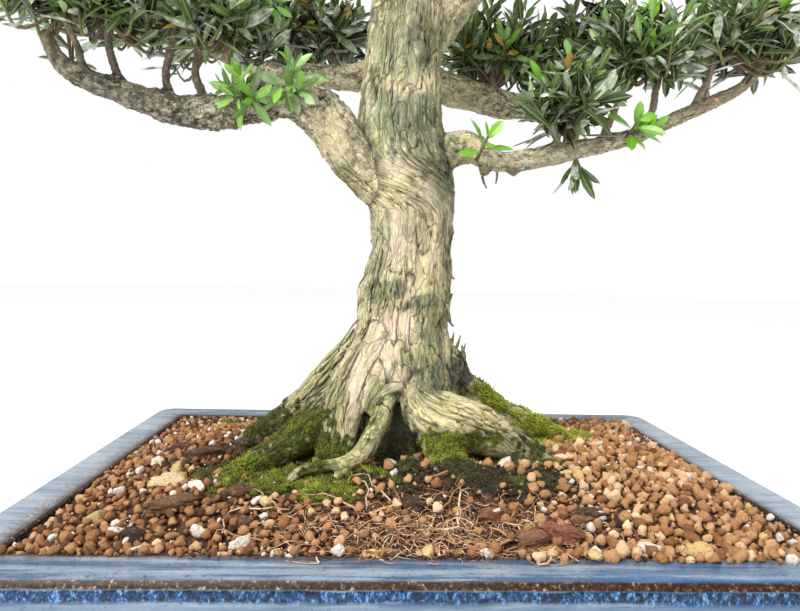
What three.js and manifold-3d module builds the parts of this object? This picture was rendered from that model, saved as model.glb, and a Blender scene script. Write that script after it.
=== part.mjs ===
// A podocarpus bonsai in a rectangular glazed pot, in millimetres, +Z up.
// The tree is one grown piece: root base, trunk, limbs and twigs. Its leaves are dense heads on the
// twigs and bright young shoots on the old wood, and the soil bed has a plain hole for the root base.
import * as THREE from "three";
import { mergeVertices } from "three/addons/utils/BufferGeometryUtils.js";
import Module from "manifold-3d";

const wasm = await Module();
wasm.setup();

// Driving dimensions: the pot
const POT_LENGTH = 500;
const POT_WIDTH = 360;
const POT_HEIGHT = 120;
const RIM_WIDTH = 30;
const RIM_CORNER = 14;
const FLOOR_TOP = 22;
const FOOT_HEIGHT = 12;
const FOOT_LEG = 62;
const FOOT_WIDTH = 18;
const FOOT_INSET = 43;
const DRAIN_RADIUS = 13;
const DRAIN_SPACING = 220;
const SCREEN_SIDE = 44;
const SCREEN_THICKNESS = 1.4;
const SCREEN_HOLE = 14;

// Driving dimensions: the soil, with its grains drawn larger than life
const SOIL_EDGE = 116.5;
const SOIL_RISE = 23;
const SOIL_RUN = [222, 152];
const GRAIN_PITCH = 15;
const GRAIN_RELIEF = 3.6;

// Driving dimensions: the leaves, and how far they stand out beyond the core of a dense head
const LEAF_LENGTH = 25;
const LEAF_WIDTH = 6.6;
const LEAF_THICKNESS = 1.4;
const LEAVES_A_WHORL = 5;
const LEAF_STANDOFF = 21;
const LEAF_STANDOFF_UP = 17;
const HEAD_UNDERSIDE = 0.6;
const SHOOT_STEM = 15;

// Clearances, and the size under which a sliver of a cut is cleaned away
const SEAT_GAP = 0.35;
const TREE_SEAT_GAP = 0.5;
const SLIVER = 0.1;

const MATERIALS = {
  glaze: new THREE.MeshStandardMaterial({ color: 0x6f86a3, roughness: 0.2, metalness: 0 }),
  screen: new THREE.MeshStandardMaterial({ color: 0x1c1d1f, roughness: 0.7, metalness: 0 }),
  soil: new THREE.MeshStandardMaterial({ color: 0x8a5f3c, roughness: 0.95, metalness: 0 }),
  bark: new THREE.MeshStandardMaterial({ color: 0x8d8762, roughness: 0.85, metalness: 0 }),
  leaf: new THREE.MeshStandardMaterial({ color: 0x35512c, roughness: 0.5, metalness: 0 }),
  youngLeaf: new THREE.MeshStandardMaterial({ color: 0x6fae2e, roughness: 0.45, metalness: 0 }),
};

const vector = (x, y, z) => new THREE.Vector3(x, y, z);
const UP = vector(0, 0, 1);

// A small seeded generator, so that every build draws the same numbers.
function seeded(seed) {
  let state = seed;
  return () => {
    state = (state * 1664525 + 1013904223) % 4294967296;
    return state / 4294967296;
  };
}

// A closed three.js mesh as a manifold solid, and a manifold solid as a three.js geometry.
function solidOf(geometry) {
  const bare = geometry.clone();
  bare.deleteAttribute("normal");
  bare.deleteAttribute("uv");
  const merged = mergeVertices(bare, 1e-3);
  const mesh = new wasm.Mesh({
    numProp: 3,
    vertProperties: merged.attributes.position.array,
    triVerts: new Uint32Array(merged.index.array),
  });
  return new wasm.Manifold(mesh);
}

function geometryOf(solid) {
  const mesh = solid.getMesh();
  const geometry = new THREE.BufferGeometry();
  geometry.setAttribute("position", new THREE.BufferAttribute(mesh.vertProperties, 3));
  geometry.setIndex(new THREE.BufferAttribute(mesh.triVerts, 1));
  return geometry;
}

const joined = (solids) => solids.reduce((sum, next) => sum.add(next));

// The largest body of a solid: loose scraps left by a cut are dropped.
function largest(solid) {
  return solid.decompose().reduce((best, next) => (next.volume() > best.volume() ? next : best));
}

const overlaps = (a, b) => a.intersect(b).volume() > 1e-4;

// Rings of equally many points, skinned into one closed surface with a fan at each end.
function skin(rings, firstTip, lastTip) {
  const sides = rings[0].length;
  const positions = rings.flat().flatMap((p) => [p.x, p.y, p.z]);
  positions.push(firstTip.x, firstTip.y, firstTip.z, lastTip.x, lastTip.y, lastTip.z);
  const first = rings.length * sides;
  const last = first + 1;
  const index = [];
  for (let ring = 0; ring + 1 < rings.length; ring++) {
    for (let i = 0; i < sides; i++) {
      const a = ring * sides + i;
      const b = ring * sides + ((i + 1) % sides);
      index.push(a, b, b + sides, a, b + sides, a + sides);
    }
  }
  const top = (rings.length - 1) * sides;
  for (let i = 0; i < sides; i++) {
    const next = (i + 1) % sides;
    index.push(first, next, i, last, top + i, top + next);
  }
  const geometry = new THREE.BufferGeometry();
  geometry.setAttribute("position", new THREE.Float32BufferAttribute(positions, 3));
  geometry.setIndex(index);
  return solidOf(geometry);
}

const centreOf = (ring) =>
  ring.reduce((sum, p) => sum.add(p), vector(0, 0, 0)).divideScalar(ring.length);

// The pot's corners in turn, anticlockwise from above, as the signs of their x and y.
const CORNERS = [[1, 1], [-1, 1], [-1, -1], [1, -1]];

// The pot's shapes are stacks of rounded rectangles, each taken in from the rim's outline.
function roundedRing(inset, z) {
  const corner = Math.max(RIM_CORNER - inset / 4, 5);
  const halfX = POT_LENGTH / 2 - inset - corner;
  const halfY = POT_WIDTH / 2 - inset - corner;
  const steps = 3;
  const ring = [];
  CORNERS.forEach(([signX, signY], quarter) => {
    for (let i = 0; i <= steps; i++) {
      const angle = ((quarter + i / steps) * Math.PI) / 2;
      const x = signX * halfX + corner * Math.cos(angle);
      ring.push(vector(x, signY * halfY + corner * Math.sin(angle), z));
    }
  });
  return ring;
}

function potStack(profile) {
  const rings = profile.map(([inset, z]) => roundedRing(inset, z));
  return skin(rings, centreOf(rings[0]), centreOf(rings[rings.length - 1]));
}

// Each profile is a list of [inset from the rim's outline, height], from the bottom up.
const POT_OUTSIDE = [
  [40, FOOT_HEIGHT],
  [35, FOOT_HEIGHT + 4],
  [23, 60],
  [18, 94],
  [4, 98],
  [0, 104],
  [0, POT_HEIGHT - 4],
  [4, POT_HEIGHT],
];
const DRAINS = [-DRAIN_SPACING / 2, DRAIN_SPACING / 2];
const CAVITY = [
  [48, FLOOR_TOP],
  [39, 40],
  [33, 68],
  [RIM_WIDTH, 94],
  [RIM_WIDTH, POT_HEIGHT + 30],
];

// An L-shaped foot under one corner of the pot, whose legs run along its sides.
function makeFoot([signX, signY], quarter) {
  const taper = 5;
  const outline = new THREE.Shape();
  outline.moveTo(0, 0);
  outline.lineTo(FOOT_LEG, 0);
  outline.lineTo(FOOT_LEG - taper, FOOT_WIDTH);
  outline.lineTo(FOOT_WIDTH, FOOT_WIDTH);
  outline.lineTo(FOOT_WIDTH, FOOT_LEG - taper);
  outline.lineTo(0, FOOT_LEG);
  outline.closePath();
  const foot = new THREE.ExtrudeGeometry(outline, { depth: FOOT_HEIGHT + 2, bevelEnabled: false });
  foot.rotateZ(((quarter + 2) * Math.PI) / 2);
  foot.translate(signX * (POT_LENGTH / 2 - FOOT_INSET), signY * (POT_WIDTH / 2 - FOOT_INSET), 0);
  return solidOf(foot);
}

function makeDrainHole(x) {
  const hole = new THREE.CylinderGeometry(DRAIN_RADIUS, DRAIN_RADIUS, 2 * FLOOR_TOP, 20);
  hole.rotateX(Math.PI / 2);
  hole.translate(x, 0, FLOOR_TOP / 2);
  return solidOf(hole);
}

function makePot() {
  const feet = CORNERS.map(makeFoot);
  const pot = potStack(POT_OUTSIDE).subtract(potStack(CAVITY));
  return DRAINS.map(makeDrainHole).reduce((left, hole) => left.subtract(hole), joined([pot, ...feet]));
}

// A flat plastic screen over a drain hole: a square plate with a grid of square holes.
function makeScreen(x) {
  const holes = 2;
  const step = SCREEN_SIDE / holes;
  const plate = new THREE.BoxGeometry(SCREEN_SIDE, SCREEN_SIDE, SCREEN_THICKNESS);
  plate.translate(x, 0, FLOOR_TOP + SEAT_GAP + SCREEN_THICKNESS / 2);
  let screen = solidOf(plate);
  for (let row = 0; row < holes; row++) {
    for (let column = 0; column < holes; column++) {
      const opening = new THREE.BoxGeometry(SCREEN_HOLE, SCREEN_HOLE, FLOOR_TOP);
      opening.translate(x + (column - 0.5) * step, (row - 0.5) * step, FLOOR_TOP);
      screen = screen.subtract(solidOf(opening));
    }
  }
  return screen;
}

function screenSeat(x) {
  const side = SCREEN_SIDE + 2 * SEAT_GAP;
  const seat = new THREE.BoxGeometry(side, side, 2 * (SCREEN_THICKNESS + 2 * SEAT_GAP));
  seat.translate(x, 0, FLOOR_TOP);
  return solidOf(seat);
}

// A tapered limb through knots of [x, y, z, radius]. Grown by grow all round, it cuts its own seat.
function limb(knots, sides, stations, grow = 0) {
  const curve = new THREE.CatmullRomCurve3(knots.map(([x, y, z]) => vector(x, y, z)), false, "centripetal");
  const frames = curve.computeFrenetFrames(stations);
  const rings = [];
  const radii = [];
  const clearance = grow / Math.cos(Math.PI / sides);
  for (let i = 0; i <= stations; i++) {
    const along = curve.getUtoTmapping(i / stations) * (knots.length - 1);
    const knot = Math.min(Math.floor(along), knots.length - 2);
    const radius = THREE.MathUtils.lerp(knots[knot][3], knots[knot + 1][3], along - knot) + clearance;
    const centre = curve.getPointAt(i / stations);
    const ring = [];
    for (let side = 0; side < sides; side++) {
      const angle = (side / sides) * 2 * Math.PI;
      const point = centre.clone().addScaledVector(frames.normals[i], radius * Math.cos(angle));
      ring.push(point.addScaledVector(frames.binormals[i], radius * Math.sin(angle)));
    }
    rings.push(ring);
    radii.push(radius);
  }
  const tip = (i, sign) =>
    curve.getPointAt(i / stations).addScaledVector(frames.tangents[i], sign * (radii[i] * 0.45 + grow));
  return skin(rings, tip(0, -1), tip(stations, 1));
}

// The trunk: [centre x, centre y, height, radius], from inside the soil to the fork.
const TRUNK = [
  [-10, 0, 104, 66],
  [-10, 0, 122, 66],
  [-10, 0, 140, 61],
  [-11, 0, 156, 55],
  [-11, 0, 170, 50],
  [-11, 0, 185, 46],
  [-11, 0, 196, 42.5],
  [-11, 0, 206, 38.5],
  [-10.5, 0, 216, 35],
  [-10, 0, 230, 33],
  [-8.5, 0, 243, 32.3],
  [-8, 0, 253, 31.6],
  [-6.5, 0, 266, 30],
  [-5, 0, 282, 28.8],
  [-5, 0, 300, 30],
  [-6, 0, 312, 32],
  [-9, 0, 328, 33.5],
  [-13, 0, 346, 34],
  [-16, 0, 364, 32],
  [-16.5, 0, 378, 30.6],
  [-16, 0, 392, 29.2],
  [-15, 0, 406, 27.6],
  [-14, 0, 420, 26.6],
  [-12.5, 0, 434, 26.4],
  [-11.5, 0, 448, 26],
  [-13, 0, 462, 23],
];

// The trunk's rings lie flat, so that the angle of each flute, in degrees, is the same at every height.
const FLUTES = [10, 48, 92, 138, 182, 214, 248, 306];
const FLUTE_WIDTH = 15;
const FLUTES_END = 222;

function fluting(angle, height) {
  const degrees = THREE.MathUtils.radToDeg(angle);
  const low = THREE.MathUtils.smoothstep(height, POT_HEIGHT, FLUTES_END);
  const lobe = FLUTES.reduce((sum, flute) => {
    const away = Math.abs(((degrees - flute + 540) % 360) - 180);
    return sum + Math.exp(-((away / FLUTE_WIDTH) ** 2));
  }, 0);
  const waves = 0.028 * Math.cos(3 * angle + height * 0.035) + 0.02 * Math.cos(7 * angle - height * 0.02);
  return 1 + (1 - low) * (0.16 * lobe - 0.1) + waves;
}

function trunk(grow) {
  const sides = 22;
  const rings = TRUNK.map(([x, y, z, radius]) => {
    const ring = [];
    for (let side = 0; side < sides; side++) {
      const angle = (side / sides) * 2 * Math.PI;
      const reach = radius * fluting(angle, z) + grow;
      ring.push(vector(x + reach * Math.cos(angle), y + reach * Math.sin(angle), z));
    }
    return ring;
  });
  rings[0].forEach((p) => (p.z -= grow));
  return skin(rings, centreOf(rings[0]), centreOf(rings[rings.length - 1]).add(vector(0, 0, 6)));
}

// Roots, limbs and the leader, as knots of [x, y, z, radius] from the trunk outwards.
const ROOTS = {
  leftRidge: [
    [-30, 0, 222, 10], [-48, 2, 204, 12.5], [-64, 5, 186, 12], [-81, 8, 168, 10.5],
    [-102, 14, 149, 8.5], [-124, 24, 134, 7], [-148, 38, 116, 5],
  ],
  leftFront: [
    [-38, -16, 190, 13], [-60, -31, 167, 13], [-82, -44, 150, 11],
    [-104, -54, 138, 8.5], [-126, -63, 126, 6.5], [-142, -70, 112, 4],
  ],
  frontFlute: [
    [-26, -22, 206, 14], [-36, -36, 183, 15], [-42, -46, 163, 13.5], [-48, -53, 146, 10],
    [-54, -60, 128, 6],
  ],
  arm: [
    [-18, -34, 186, 8], [-22, -48, 174, 7.5], [-27, -58, 164, 7.2], [-35, -64, 155, 7.6],
    [-44, -68, 146.5, 7.6], [-57, -71, 140.5, 6.4], [-71, -73, 138, 5], [-86, -78, 128, 3.6],
  ],
  knee: [
    [-8, -30, 194, 12], [-4, -44, 177, 17], [12, -49, 167, 19], [34, -48, 160, 17.5],
    [55, -43, 152, 14.5], [76, -38, 140, 11], [98, -34, 127, 8], [114, -32, 112, 5],
  ],
  frontHump: [
    [10, -52, 156, 11], [19, -70, 143, 11], [30, -86, 133, 9], [40, -101, 118, 6],
  ],
  right: [
    [14, 0, 206, 11], [28, 4, 188, 12.5], [45, 8, 169, 13], [66, 13, 156, 11.5],
    [92, 20, 146, 10], [120, 30, 132, 7], [140, 40, 115, 4.5],
  ],
  backRight: [
    [10, 20, 200, 13], [28, 42, 178, 13.5], [44, 64, 157, 12], [60, 88, 138, 8.5], [74, 112, 118, 5],
  ],
  back: [
    [-10, 26, 194, 12], [-9, 52, 166, 12], [-5, 80, 143, 9.5], [0, 108, 120, 5],
  ],
  backLeft: [
    [-34, 22, 198, 13], [-50, 46, 173, 13], [-64, 70, 151, 11], [-78, 96, 133, 8], [-90, 118, 115, 5],
  ],
};
const LIMBS = {
  leftFront: [
    [-12, -2, 320, 17], [-31, -7, 330, 18.5], [-48, -13, 346, 17.5], [-64.5, -15, 367, 17],
    [-81, -16, 382, 15.5], [-98, -17, 386.5, 14.5], [-114, -17, 381, 13], [-132, -17, 375.5, 12],
    [-150, -17, 372.8, 11.5], [-171, -17, 373.5, 10.6], [-188, -17, 378.3, 9.8], [-209, -18, 385, 8.6],
    [-230, -19, 391.5, 7.6], [-250, -20, 402, 6], [-262, -20, 424, 4.4],
  ],
  rightFront: [
    [2, -2, 348, 15], [22, -6, 354, 12.5], [35, -9, 356, 11.4], [44, -10, 351, 9.4],
    [57, -10, 346, 7.4], [72, -10, 347.5, 7.6], [90, -10, 351, 7.6], [112, -12, 356, 7],
    [132, -13, 360.5, 6.4], [156, -14, 367.5, 5.8], [178, -15, 377.5, 5.2], [206, -16, 391, 4.8],
    [230, -17, 404, 4.2], [246, -18, 424, 3.4],
  ],
  leftBack: [
    [-16, 14, 416, 13], [-38, 36, 420, 11.5], [-57, 50, 421, 10.5], [-84, 62, 425, 9],
    [-114, 72, 430, 7.5], [-150, 81, 439, 6], [-186, 86, 456, 4.4],
  ],
  rightBack: [
    [-4, 16, 414, 13], [18, 38, 412, 13], [42, 50, 410, 12.5], [70, 58, 405.5, 11.2],
    [96, 66, 406, 9.4], [124, 74, 412, 7.4], [152, 80, 426, 5.6], [170, 84, 448, 4],
  ],
  leader: [
    [-12, 0, 446, 25], [-20, -2, 486, 20], [-27, -3, 524, 16.5], [-20, 0, 560, 13],
    [-10, 2, 598, 9.5], [-5, 1, 642, 5],
  ],
  rightUpper: [
    [-2, 0, 430, 15], [16, 2, 453, 14.5], [34, 1, 474, 12.5], [56, -5, 493, 10.2],
    [84, -13, 510, 7.8], [116, -20, 544, 5],
  ],
  leftUpper: [
    [-20, -2, 488, 13], [-44, -11, 508, 11], [-72, -21, 522, 8.6], [-102, -29, 537, 6.2],
    [-126, -32, 556, 4.2],
  ],
  backUpper: [
    [-22, 6, 498, 12], [-16, 36, 515, 10], [-7, 66, 528, 7.8], [1, 94, 556, 5],
  ],
  frontUpper: [
    [-24, -8, 534, 10], [-18, -34, 552, 8], [-10, -60, 568, 6], [-4, -76, 594, 4],
  ],
  crownLeft: [
    [-20, 0, 562, 8], [-36, 3, 594, 6.5], [-50, 6, 640, 4],
  ],
  crownRight: [
    [-12, 2, 588, 8], [14, 0, 610, 6], [36, -2, 644, 4],
  ],
};
// Thinner wood that carries single shoots or whole heads: knots of [x, y, z, radius].
const TWIGS = [
  [[-128, -17, 378, 4.2], [-132, -18, 398, 3.6], [-134, -20, 430, 2.8]],
  [[-153, -17, 376, 4.6], [-160, -16, 398, 4], [-156, -18, 432, 3]],
  [[-170, -17, 376, 4.2], [-179, -20, 398, 3.6], [-172, -24, 432, 2.8]],
  [[-205, -18, 386, 4], [-216, -20, 408, 3.6], [-218, -21, 440, 2.8]],
  [[-232, -19, 394, 3.8], [-236, -26, 412, 3.2], [-242, -30, 438, 2.6]],
  [[-66, 57, 424, 4.6], [-70, 62, 438, 3.8], [-72, 66, 452, 3]],
  [[-110, 71, 431, 4], [-108, 70, 442, 3.4], [-106, 70, 454, 3]],
  [[92, -10, 352, 3.6], [98, -16, 366, 3.2], [106, -20, 386, 2.8]],
  [[130, -13, 361, 3.8], [137, -16, 382, 3.4], [142, -18, 418, 2.8]],
  [[160, -14, 370, 4], [167, -14, 392, 3.6], [168, -16, 420, 3]],
  [[196, -15, 387, 3.6], [203, -18, 405, 3.2], [208, -18, 434, 2.8]],
  [[62, 56, 408, 5], [62, 58, 424, 4.4], [58, 60, 440, 3.4]],
  [[98, 66, 408, 4], [96, 66, 422, 3.4], [88, 66, 438, 3]],
  [[132, 76, 416, 3.8], [138, 78, 434, 3.2], [144, 80, 456, 2.8]],
  [[-74, -21, 523, 4], [-88, -26, 538, 3.4], [-96, -28, 558, 2.8]],
  [[82, -12, 509, 4], [86, -10, 526, 3.4], [94, -10, 550, 2.8]],
  [[-7, 66, 529, 4], [-24, 80, 542, 3.4], [-32, 88, 558, 2.8]],
];
// A dead twig and broken stubs on the old wood.
const STUBS = [
  [[-36, -14, 234, 2.4], [-50, -16, 226, 1.8], [-58, -17, 217, 1.5], [-59, -17, 209, 1.2]],
  [[10, -6, 204, 5.5], [21, -7, 213, 4], [25, -7, 224, 2]],
  [[-133, -18, 372, 5], [-132, -19, 362, 3.4]],
  [[-180, -17, 376, 4], [-180, -17, 389, 2.6]],
  [[46, -10, 350, 6], [46, -12, 336, 3.6]],
  [[64, -10, 347, 5], [68, -12, 336, 3]],
];
// Burls on the trunk: centre and radii, each as x, y, z.
const BURLS = [
  [-33, -2, 249, 11, 15, 12],
  [27, -8, 196, 10, 11, 13],
];

function makeTree(grow) {
  const solids = [trunk(grow)];
  for (const knots of Object.values(ROOTS)) solids.push(limb(knots, 7, knots.length, grow));
  for (const knots of Object.values(LIMBS)) {
    solids.push(limb(knots, knots[0][3] > 14 ? 8 : 7, knots.length - 1, grow));
  }
  for (const knots of TWIGS) solids.push(limb(knots, 4, 2, grow));
  for (const knots of STUBS) solids.push(limb(knots, 4, knots.length - 1, grow));
  for (const [x, y, z, ...radii] of BURLS) {
    const burl = new THREE.IcosahedronGeometry(1, 1);
    burl.scale(...radii.map((radius) => radius + grow));
    burl.translate(x, y, z);
    solids.push(solidOf(burl));
  }
  return joined(solids);
}

// The soil's surface is a mound round the root base, with a low heap in the far right corner.
function moundHeight(x, y) {
  const power = 2.4;
  const out = (Math.abs(x / SOIL_RUN[0]) ** power + Math.abs(y / SOIL_RUN[1]) ** power) ** (1 / power);
  const heap = 7 * Math.exp(-(((x - 165) / 60) ** 2) - ((y - 118) / 42) ** 2);
  return SOIL_EDGE + SOIL_RISE * (1 - Math.min(out, 1) ** 2) + heap;
}

// A block with a grainy top: the grains are the raised points of a triangular lattice, one in three.
function grainyBlock() {
  const random = seeded(11);
  const rowStep = (GRAIN_PITCH * Math.sqrt(3)) / 2;
  const rows = Math.ceil(POT_WIDTH / rowStep);
  const columns = Math.ceil(POT_LENGTH / GRAIN_PITCH);
  const underside = FLOOR_TOP - 5;
  const positions = [];
  for (const layer of [0, 1]) {
    for (let row = 0; row <= rows; row++) {
      for (let column = 0; column <= columns; column++) {
        const x = (column + (row % 2) / 2 - columns / 2) * GRAIN_PITCH;
        const y = (row - rows / 2) * rowStep;
        const raised = (column + 2 * (row % 2)) % 3 === 0 ? 1 : 0;
        const height = moundHeight(x, y) + GRAIN_RELIEF * (raised - random() / 2);
        positions.push(x, y, layer ? height : underside);
      }
    }
  }
  const at = (row, column, layer) => (layer * (rows + 1) + row) * (columns + 1) + column;
  const index = [];
  for (let row = 0; row < rows; row++) {
    for (let column = 0; column < columns; column++) {
      const [a, b] = [at(row, column, 1), at(row, column + 1, 1)];
      const [c, d] = [at(row + 1, column, 1), at(row + 1, column + 1, 1)];
      const [e, f] = [at(row, column, 0), at(row, column + 1, 0)];
      const [g, h] = [at(row + 1, column, 0), at(row + 1, column + 1, 0)];
      if (row % 2) index.push(a, b, d, a, d, c, e, h, f, e, g, h);
      else index.push(a, b, c, b, d, c, e, g, f, f, g, h);
    }
  }
  const wall = (p, q, r, s) => index.push(p, q, s, p, s, r);
  for (let column = 0; column < columns; column++) {
    wall(at(0, column, 0), at(0, column + 1, 0), at(0, column, 1), at(0, column + 1, 1));
    wall(at(rows, column + 1, 0), at(rows, column, 0), at(rows, column + 1, 1), at(rows, column, 1));
  }
  for (let row = 0; row < rows; row++) {
    wall(at(row + 1, 0, 0), at(row, 0, 0), at(row + 1, 0, 1), at(row, 0, 1));
    wall(at(row, columns, 0), at(row + 1, columns, 0), at(row, columns, 1), at(row + 1, columns, 1));
  }
  const block = new THREE.BufferGeometry();
  block.setAttribute("position", new THREE.Float32BufferAttribute(positions, 3));
  block.setIndex(index);
  return solidOf(block);
}

// The soil fills the cavity up to its mound, clear of the pot, the root base and the screens.
function makeSoil(treeSeat) {
  const filling = CAVITY.map(([inset, z]) => [inset + SEAT_GAP, z === FLOOR_TOP ? z + SEAT_GAP : z]);
  const seats = [treeSeat, ...DRAINS.map(screenSeat)];
  const soil = grainyBlock().intersect(potStack(filling));
  return largest(seats.reduce((left, seat) => left.subtract(seat), soil));
}

// One leaf: a narrow blade, widest in its middle, with a keel below and its margins raised.
function leafBlade(root, direction, face, length, width, grow = 0) {
  const side = direction.clone().cross(face).normalize();
  const lift = side.clone().cross(direction).normalize();
  const middle = root.clone().addScaledVector(direction, length / 2);
  middle.addScaledVector(lift, LEAF_THICKNESS + grow);
  const corners = [
    root.clone().addScaledVector(lift, -grow),
    root.clone().addScaledVector(direction, length + 2 * grow).addScaledVector(lift, -grow),
    middle.clone().addScaledVector(side, width / 2 + grow),
    middle.clone().addScaledVector(side, -width / 2 - grow),
  ];
  const blade = new THREE.BufferGeometry().setFromPoints(corners);
  blade.setIndex([2, 1, 3, 0, 2, 3, 0, 1, 2, 0, 3, 1]);
  return solidOf(blade);
}

// Leaves stand in whorls round a shoot's axis, clear of every obstacle; one that can't be is left out.
// spread is how far they lean out from the axis, and sunk how far their roots are set in below centre.
function whorl({ centre, axis, count, spread, length, sunk, random, clearOf }) {
  const sideways = Math.abs(axis.z) < 0.9 ? UP : vector(1, 0, 0);
  const right = axis.clone().cross(sideways).normalize();
  const forward = right.clone().cross(axis).normalize();
  const start = random() * 2 * Math.PI;
  const root = centre.clone().addScaledVector(axis, -sunk);
  const blades = [];
  for (let i = 0; i < count; i++) {
    for (let attempt = 0; attempt < 5; attempt++) {
      const turn = start + ((i + (attempt ? 0.7 * (random() - 0.5) : 0)) / count) * 2 * Math.PI;
      const lean = spread * (0.88 + 0.24 * random()) * (1 - 0.14 * attempt);
      const outward = right.clone().multiplyScalar(Math.cos(turn)).addScaledVector(forward, Math.sin(turn));
      const direction = axis.clone().multiplyScalar(Math.cos(lean)).addScaledVector(outward, Math.sin(lean));
      const face = outward.clone().multiplyScalar(-Math.cos(lean)).addScaledVector(axis, Math.sin(lean));
      const size = 0.88 + 0.24 * random();
      const full = [root, direction, face, length * size + sunk, LEAF_WIDTH * size];
      if (clearOf.some((solid) => overlaps(leafBlade(...full, SEAT_GAP), solid))) continue;
      blades.push(leafBlade(...full));
      break;
    }
  }
  return blades;
}

// A dense head's lumpy core is smaller than the head by its leaves, and flatter below than above.
const coreReach = ([x, y, z]) => vector(x - LEAF_STANDOFF, y - LEAF_STANDOFF, z - LEAF_STANDOFF_UP);

function headCore({ at, reach, seed }) {
  const inner = coreReach(reach);
  const core = new THREE.IcosahedronGeometry(1, 1);
  const corners = core.attributes.position;
  for (let i = 0; i < corners.count; i++) {
    const p = vector().fromBufferAttribute(corners, i);
    const lump = 1 + 0.09 * Math.sin(5 * p.x + 3 * p.y + seed) + 0.06 * Math.cos(7 * p.y - 4 * p.z + seed);
    const flat = p.z < 0 ? HEAD_UNDERSIDE : 1;
    corners.setXYZ(i, p.x * inner.x * lump, p.y * inner.y * lump, p.z * inner.z * lump * flat);
  }
  core.translate(...at);
  return solidOf(core);
}

// A dense head of leaves: whorls that stand out of its core, on all sides of it.
// reach is the head's half size with its leaves.
function leafHead({ at, reach, whorls, seed, core, treeSeat, others }) {
  const random = seeded(seed);
  const centre = vector(...at);
  const inner = coreReach(reach);
  const blades = [];
  const golden = Math.PI * (3 - Math.sqrt(5));
  for (let i = 0; i < whorls; i++) {
    const height = 0.93 - (1.5 * (i + 0.4)) / whorls;
    const around = i * golden + seed;
    const flat = Math.sqrt(1 - height * height);
    const ray = vector(flat * Math.cos(around), flat * Math.sin(around), height);
    const droop = height < 0 ? HEAD_UNDERSIDE : 1;
    const spot = vector(ray.x * inner.x, ray.y * inner.y, ray.z * inner.z * droop).multiplyScalar(0.94);
    const axis = vector(ray.x / inner.x, ray.y / inner.y, ray.z / inner.z).normalize();
    axis.addScaledVector(UP, height < 0 ? 0.1 : 0.35).normalize();
    blades.push(
      ...whorl({
        centre: spot.add(centre),
        axis,
        count: LEAVES_A_WHORL,
        spread: 0.95,
        length: LEAF_LENGTH,
        sunk: 4,
        random,
        clearOf: [treeSeat, ...others, ...blades],
      }),
    );
  }
  return largest(joined([core, ...blades]).subtract(treeSeat));
}

// A young shoot: a short green stem with a rosette of leaves, seated on the bark.
function youngShoot({ foot, toward, leaves, length, seed, treeSeat, others }) {
  const axis = vector(...toward).normalize();
  const end = vector(...foot).addScaledVector(axis, SHOOT_STEM);
  const stem = limb([[...foot, 1.9], [...end.toArray(), 1.7]], 6, 1);
  const bud = new THREE.IcosahedronGeometry(2.9, 0);
  bud.translate(end.x, end.y, end.z);
  const clearOf = [treeSeat, ...others];
  const rosette = whorl({
    centre: end, axis, count: leaves, spread: 1.15, length, sunk: 0.5, random: seeded(seed), clearOf,
  });
  return largest(joined([stem, solidOf(bud), ...rosette]).subtract(treeSeat));
}

// The dense heads: centre, half size with its leaves, and number of leaf whorls.
const HEADS = [
  { name: "leaf_head_left_outer", at: [-230, -20, 444], reach: [66, 56, 38], whorls: 9 },
  { name: "leaf_head_left_inner", at: [-150, -20, 436], reach: [54, 48, 36], whorls: 7 },
  { name: "leaf_head_left_back", at: [-86, 68, 453], reach: [66, 48, 40], whorls: 7 },
  { name: "leaf_head_left_far", at: [-184, 86, 466], reach: [54, 46, 36], whorls: 6 },
  { name: "leaf_head_right_outer", at: [227, -16, 438], reach: [62, 52, 38], whorls: 9 },
  { name: "leaf_head_right_middle", at: [154, -20, 423], reach: [48, 44, 36], whorls: 7 },
  { name: "leaf_head_right_inner", at: [98, -24, 384], reach: [42, 40, 34], whorls: 6 },
  { name: "leaf_head_right_back", at: [68, 66, 442], reach: [60, 48, 42], whorls: 7 },
  { name: "leaf_head_right_far", at: [162, 84, 462], reach: [56, 46, 38], whorls: 6 },
  { name: "leaf_head_upper_left", at: [-120, -32, 562], reach: [70, 58, 40], whorls: 9 },
  { name: "leaf_head_upper_right", at: [112, -20, 555], reach: [70, 58, 40], whorls: 9 },
  { name: "leaf_head_upper_back", at: [-4, 94, 564], reach: [68, 50, 40], whorls: 7 },
  { name: "leaf_head_upper_front", at: [-4, -74, 600], reach: [58, 46, 34], whorls: 6 },
  { name: "leaf_head_crown", at: [-6, 2, 654], reach: [94, 70, 52], whorls: 14 },
];

// The young shoots: where each leaves the bark, which way, and its leaves.
const SHOOTS = [
  { name: "young_shoot_left", foot: [-119, -29, 382], toward: [-0.25, -0.75, 0.6], leaves: 7, length: 19 },
  { name: "young_shoot_bend", foot: [-93, -30, 388], toward: [0.3, -0.8, 0.5], leaves: 6, length: 19 },
  { name: "young_shoot_collar", foot: [42, -19, 355], toward: [0.25, -0.7, 0.65], leaves: 6, length: 19 },
  { name: "young_shoot_right", foot: [146, -19, 365], toward: [0.1, -0.85, 0.45], leaves: 6, length: 22 },
  { name: "hanging_spray", foot: [112, -12, 350], toward: [0.05, -0.2, -1], leaves: 8, length: 27 },
];

const group = new THREE.Group();

// Adds a solid under its name, without the slivers that its cuts and joints left.
function place(name, solid, material) {
  const clean = solid.asOriginal().simplify(SLIVER);
  const mesh = new THREE.Mesh(geometryOf(clean), material);
  mesh.name = name;
  group.add(mesh);
  return clean;
}

const tree = makeTree(0);
const treeSeat = makeTree(TREE_SEAT_GAP);
place("pot", makePot(), MATERIALS.glaze);
place("drainage_screen_left", makeScreen(DRAINS[0]), MATERIALS.screen);
place("drainage_screen_right", makeScreen(DRAINS[1]), MATERIALS.screen);
place("soil", makeSoil(treeSeat), MATERIALS.soil);
place("tree", largest(tree), MATERIALS.bark);

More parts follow.
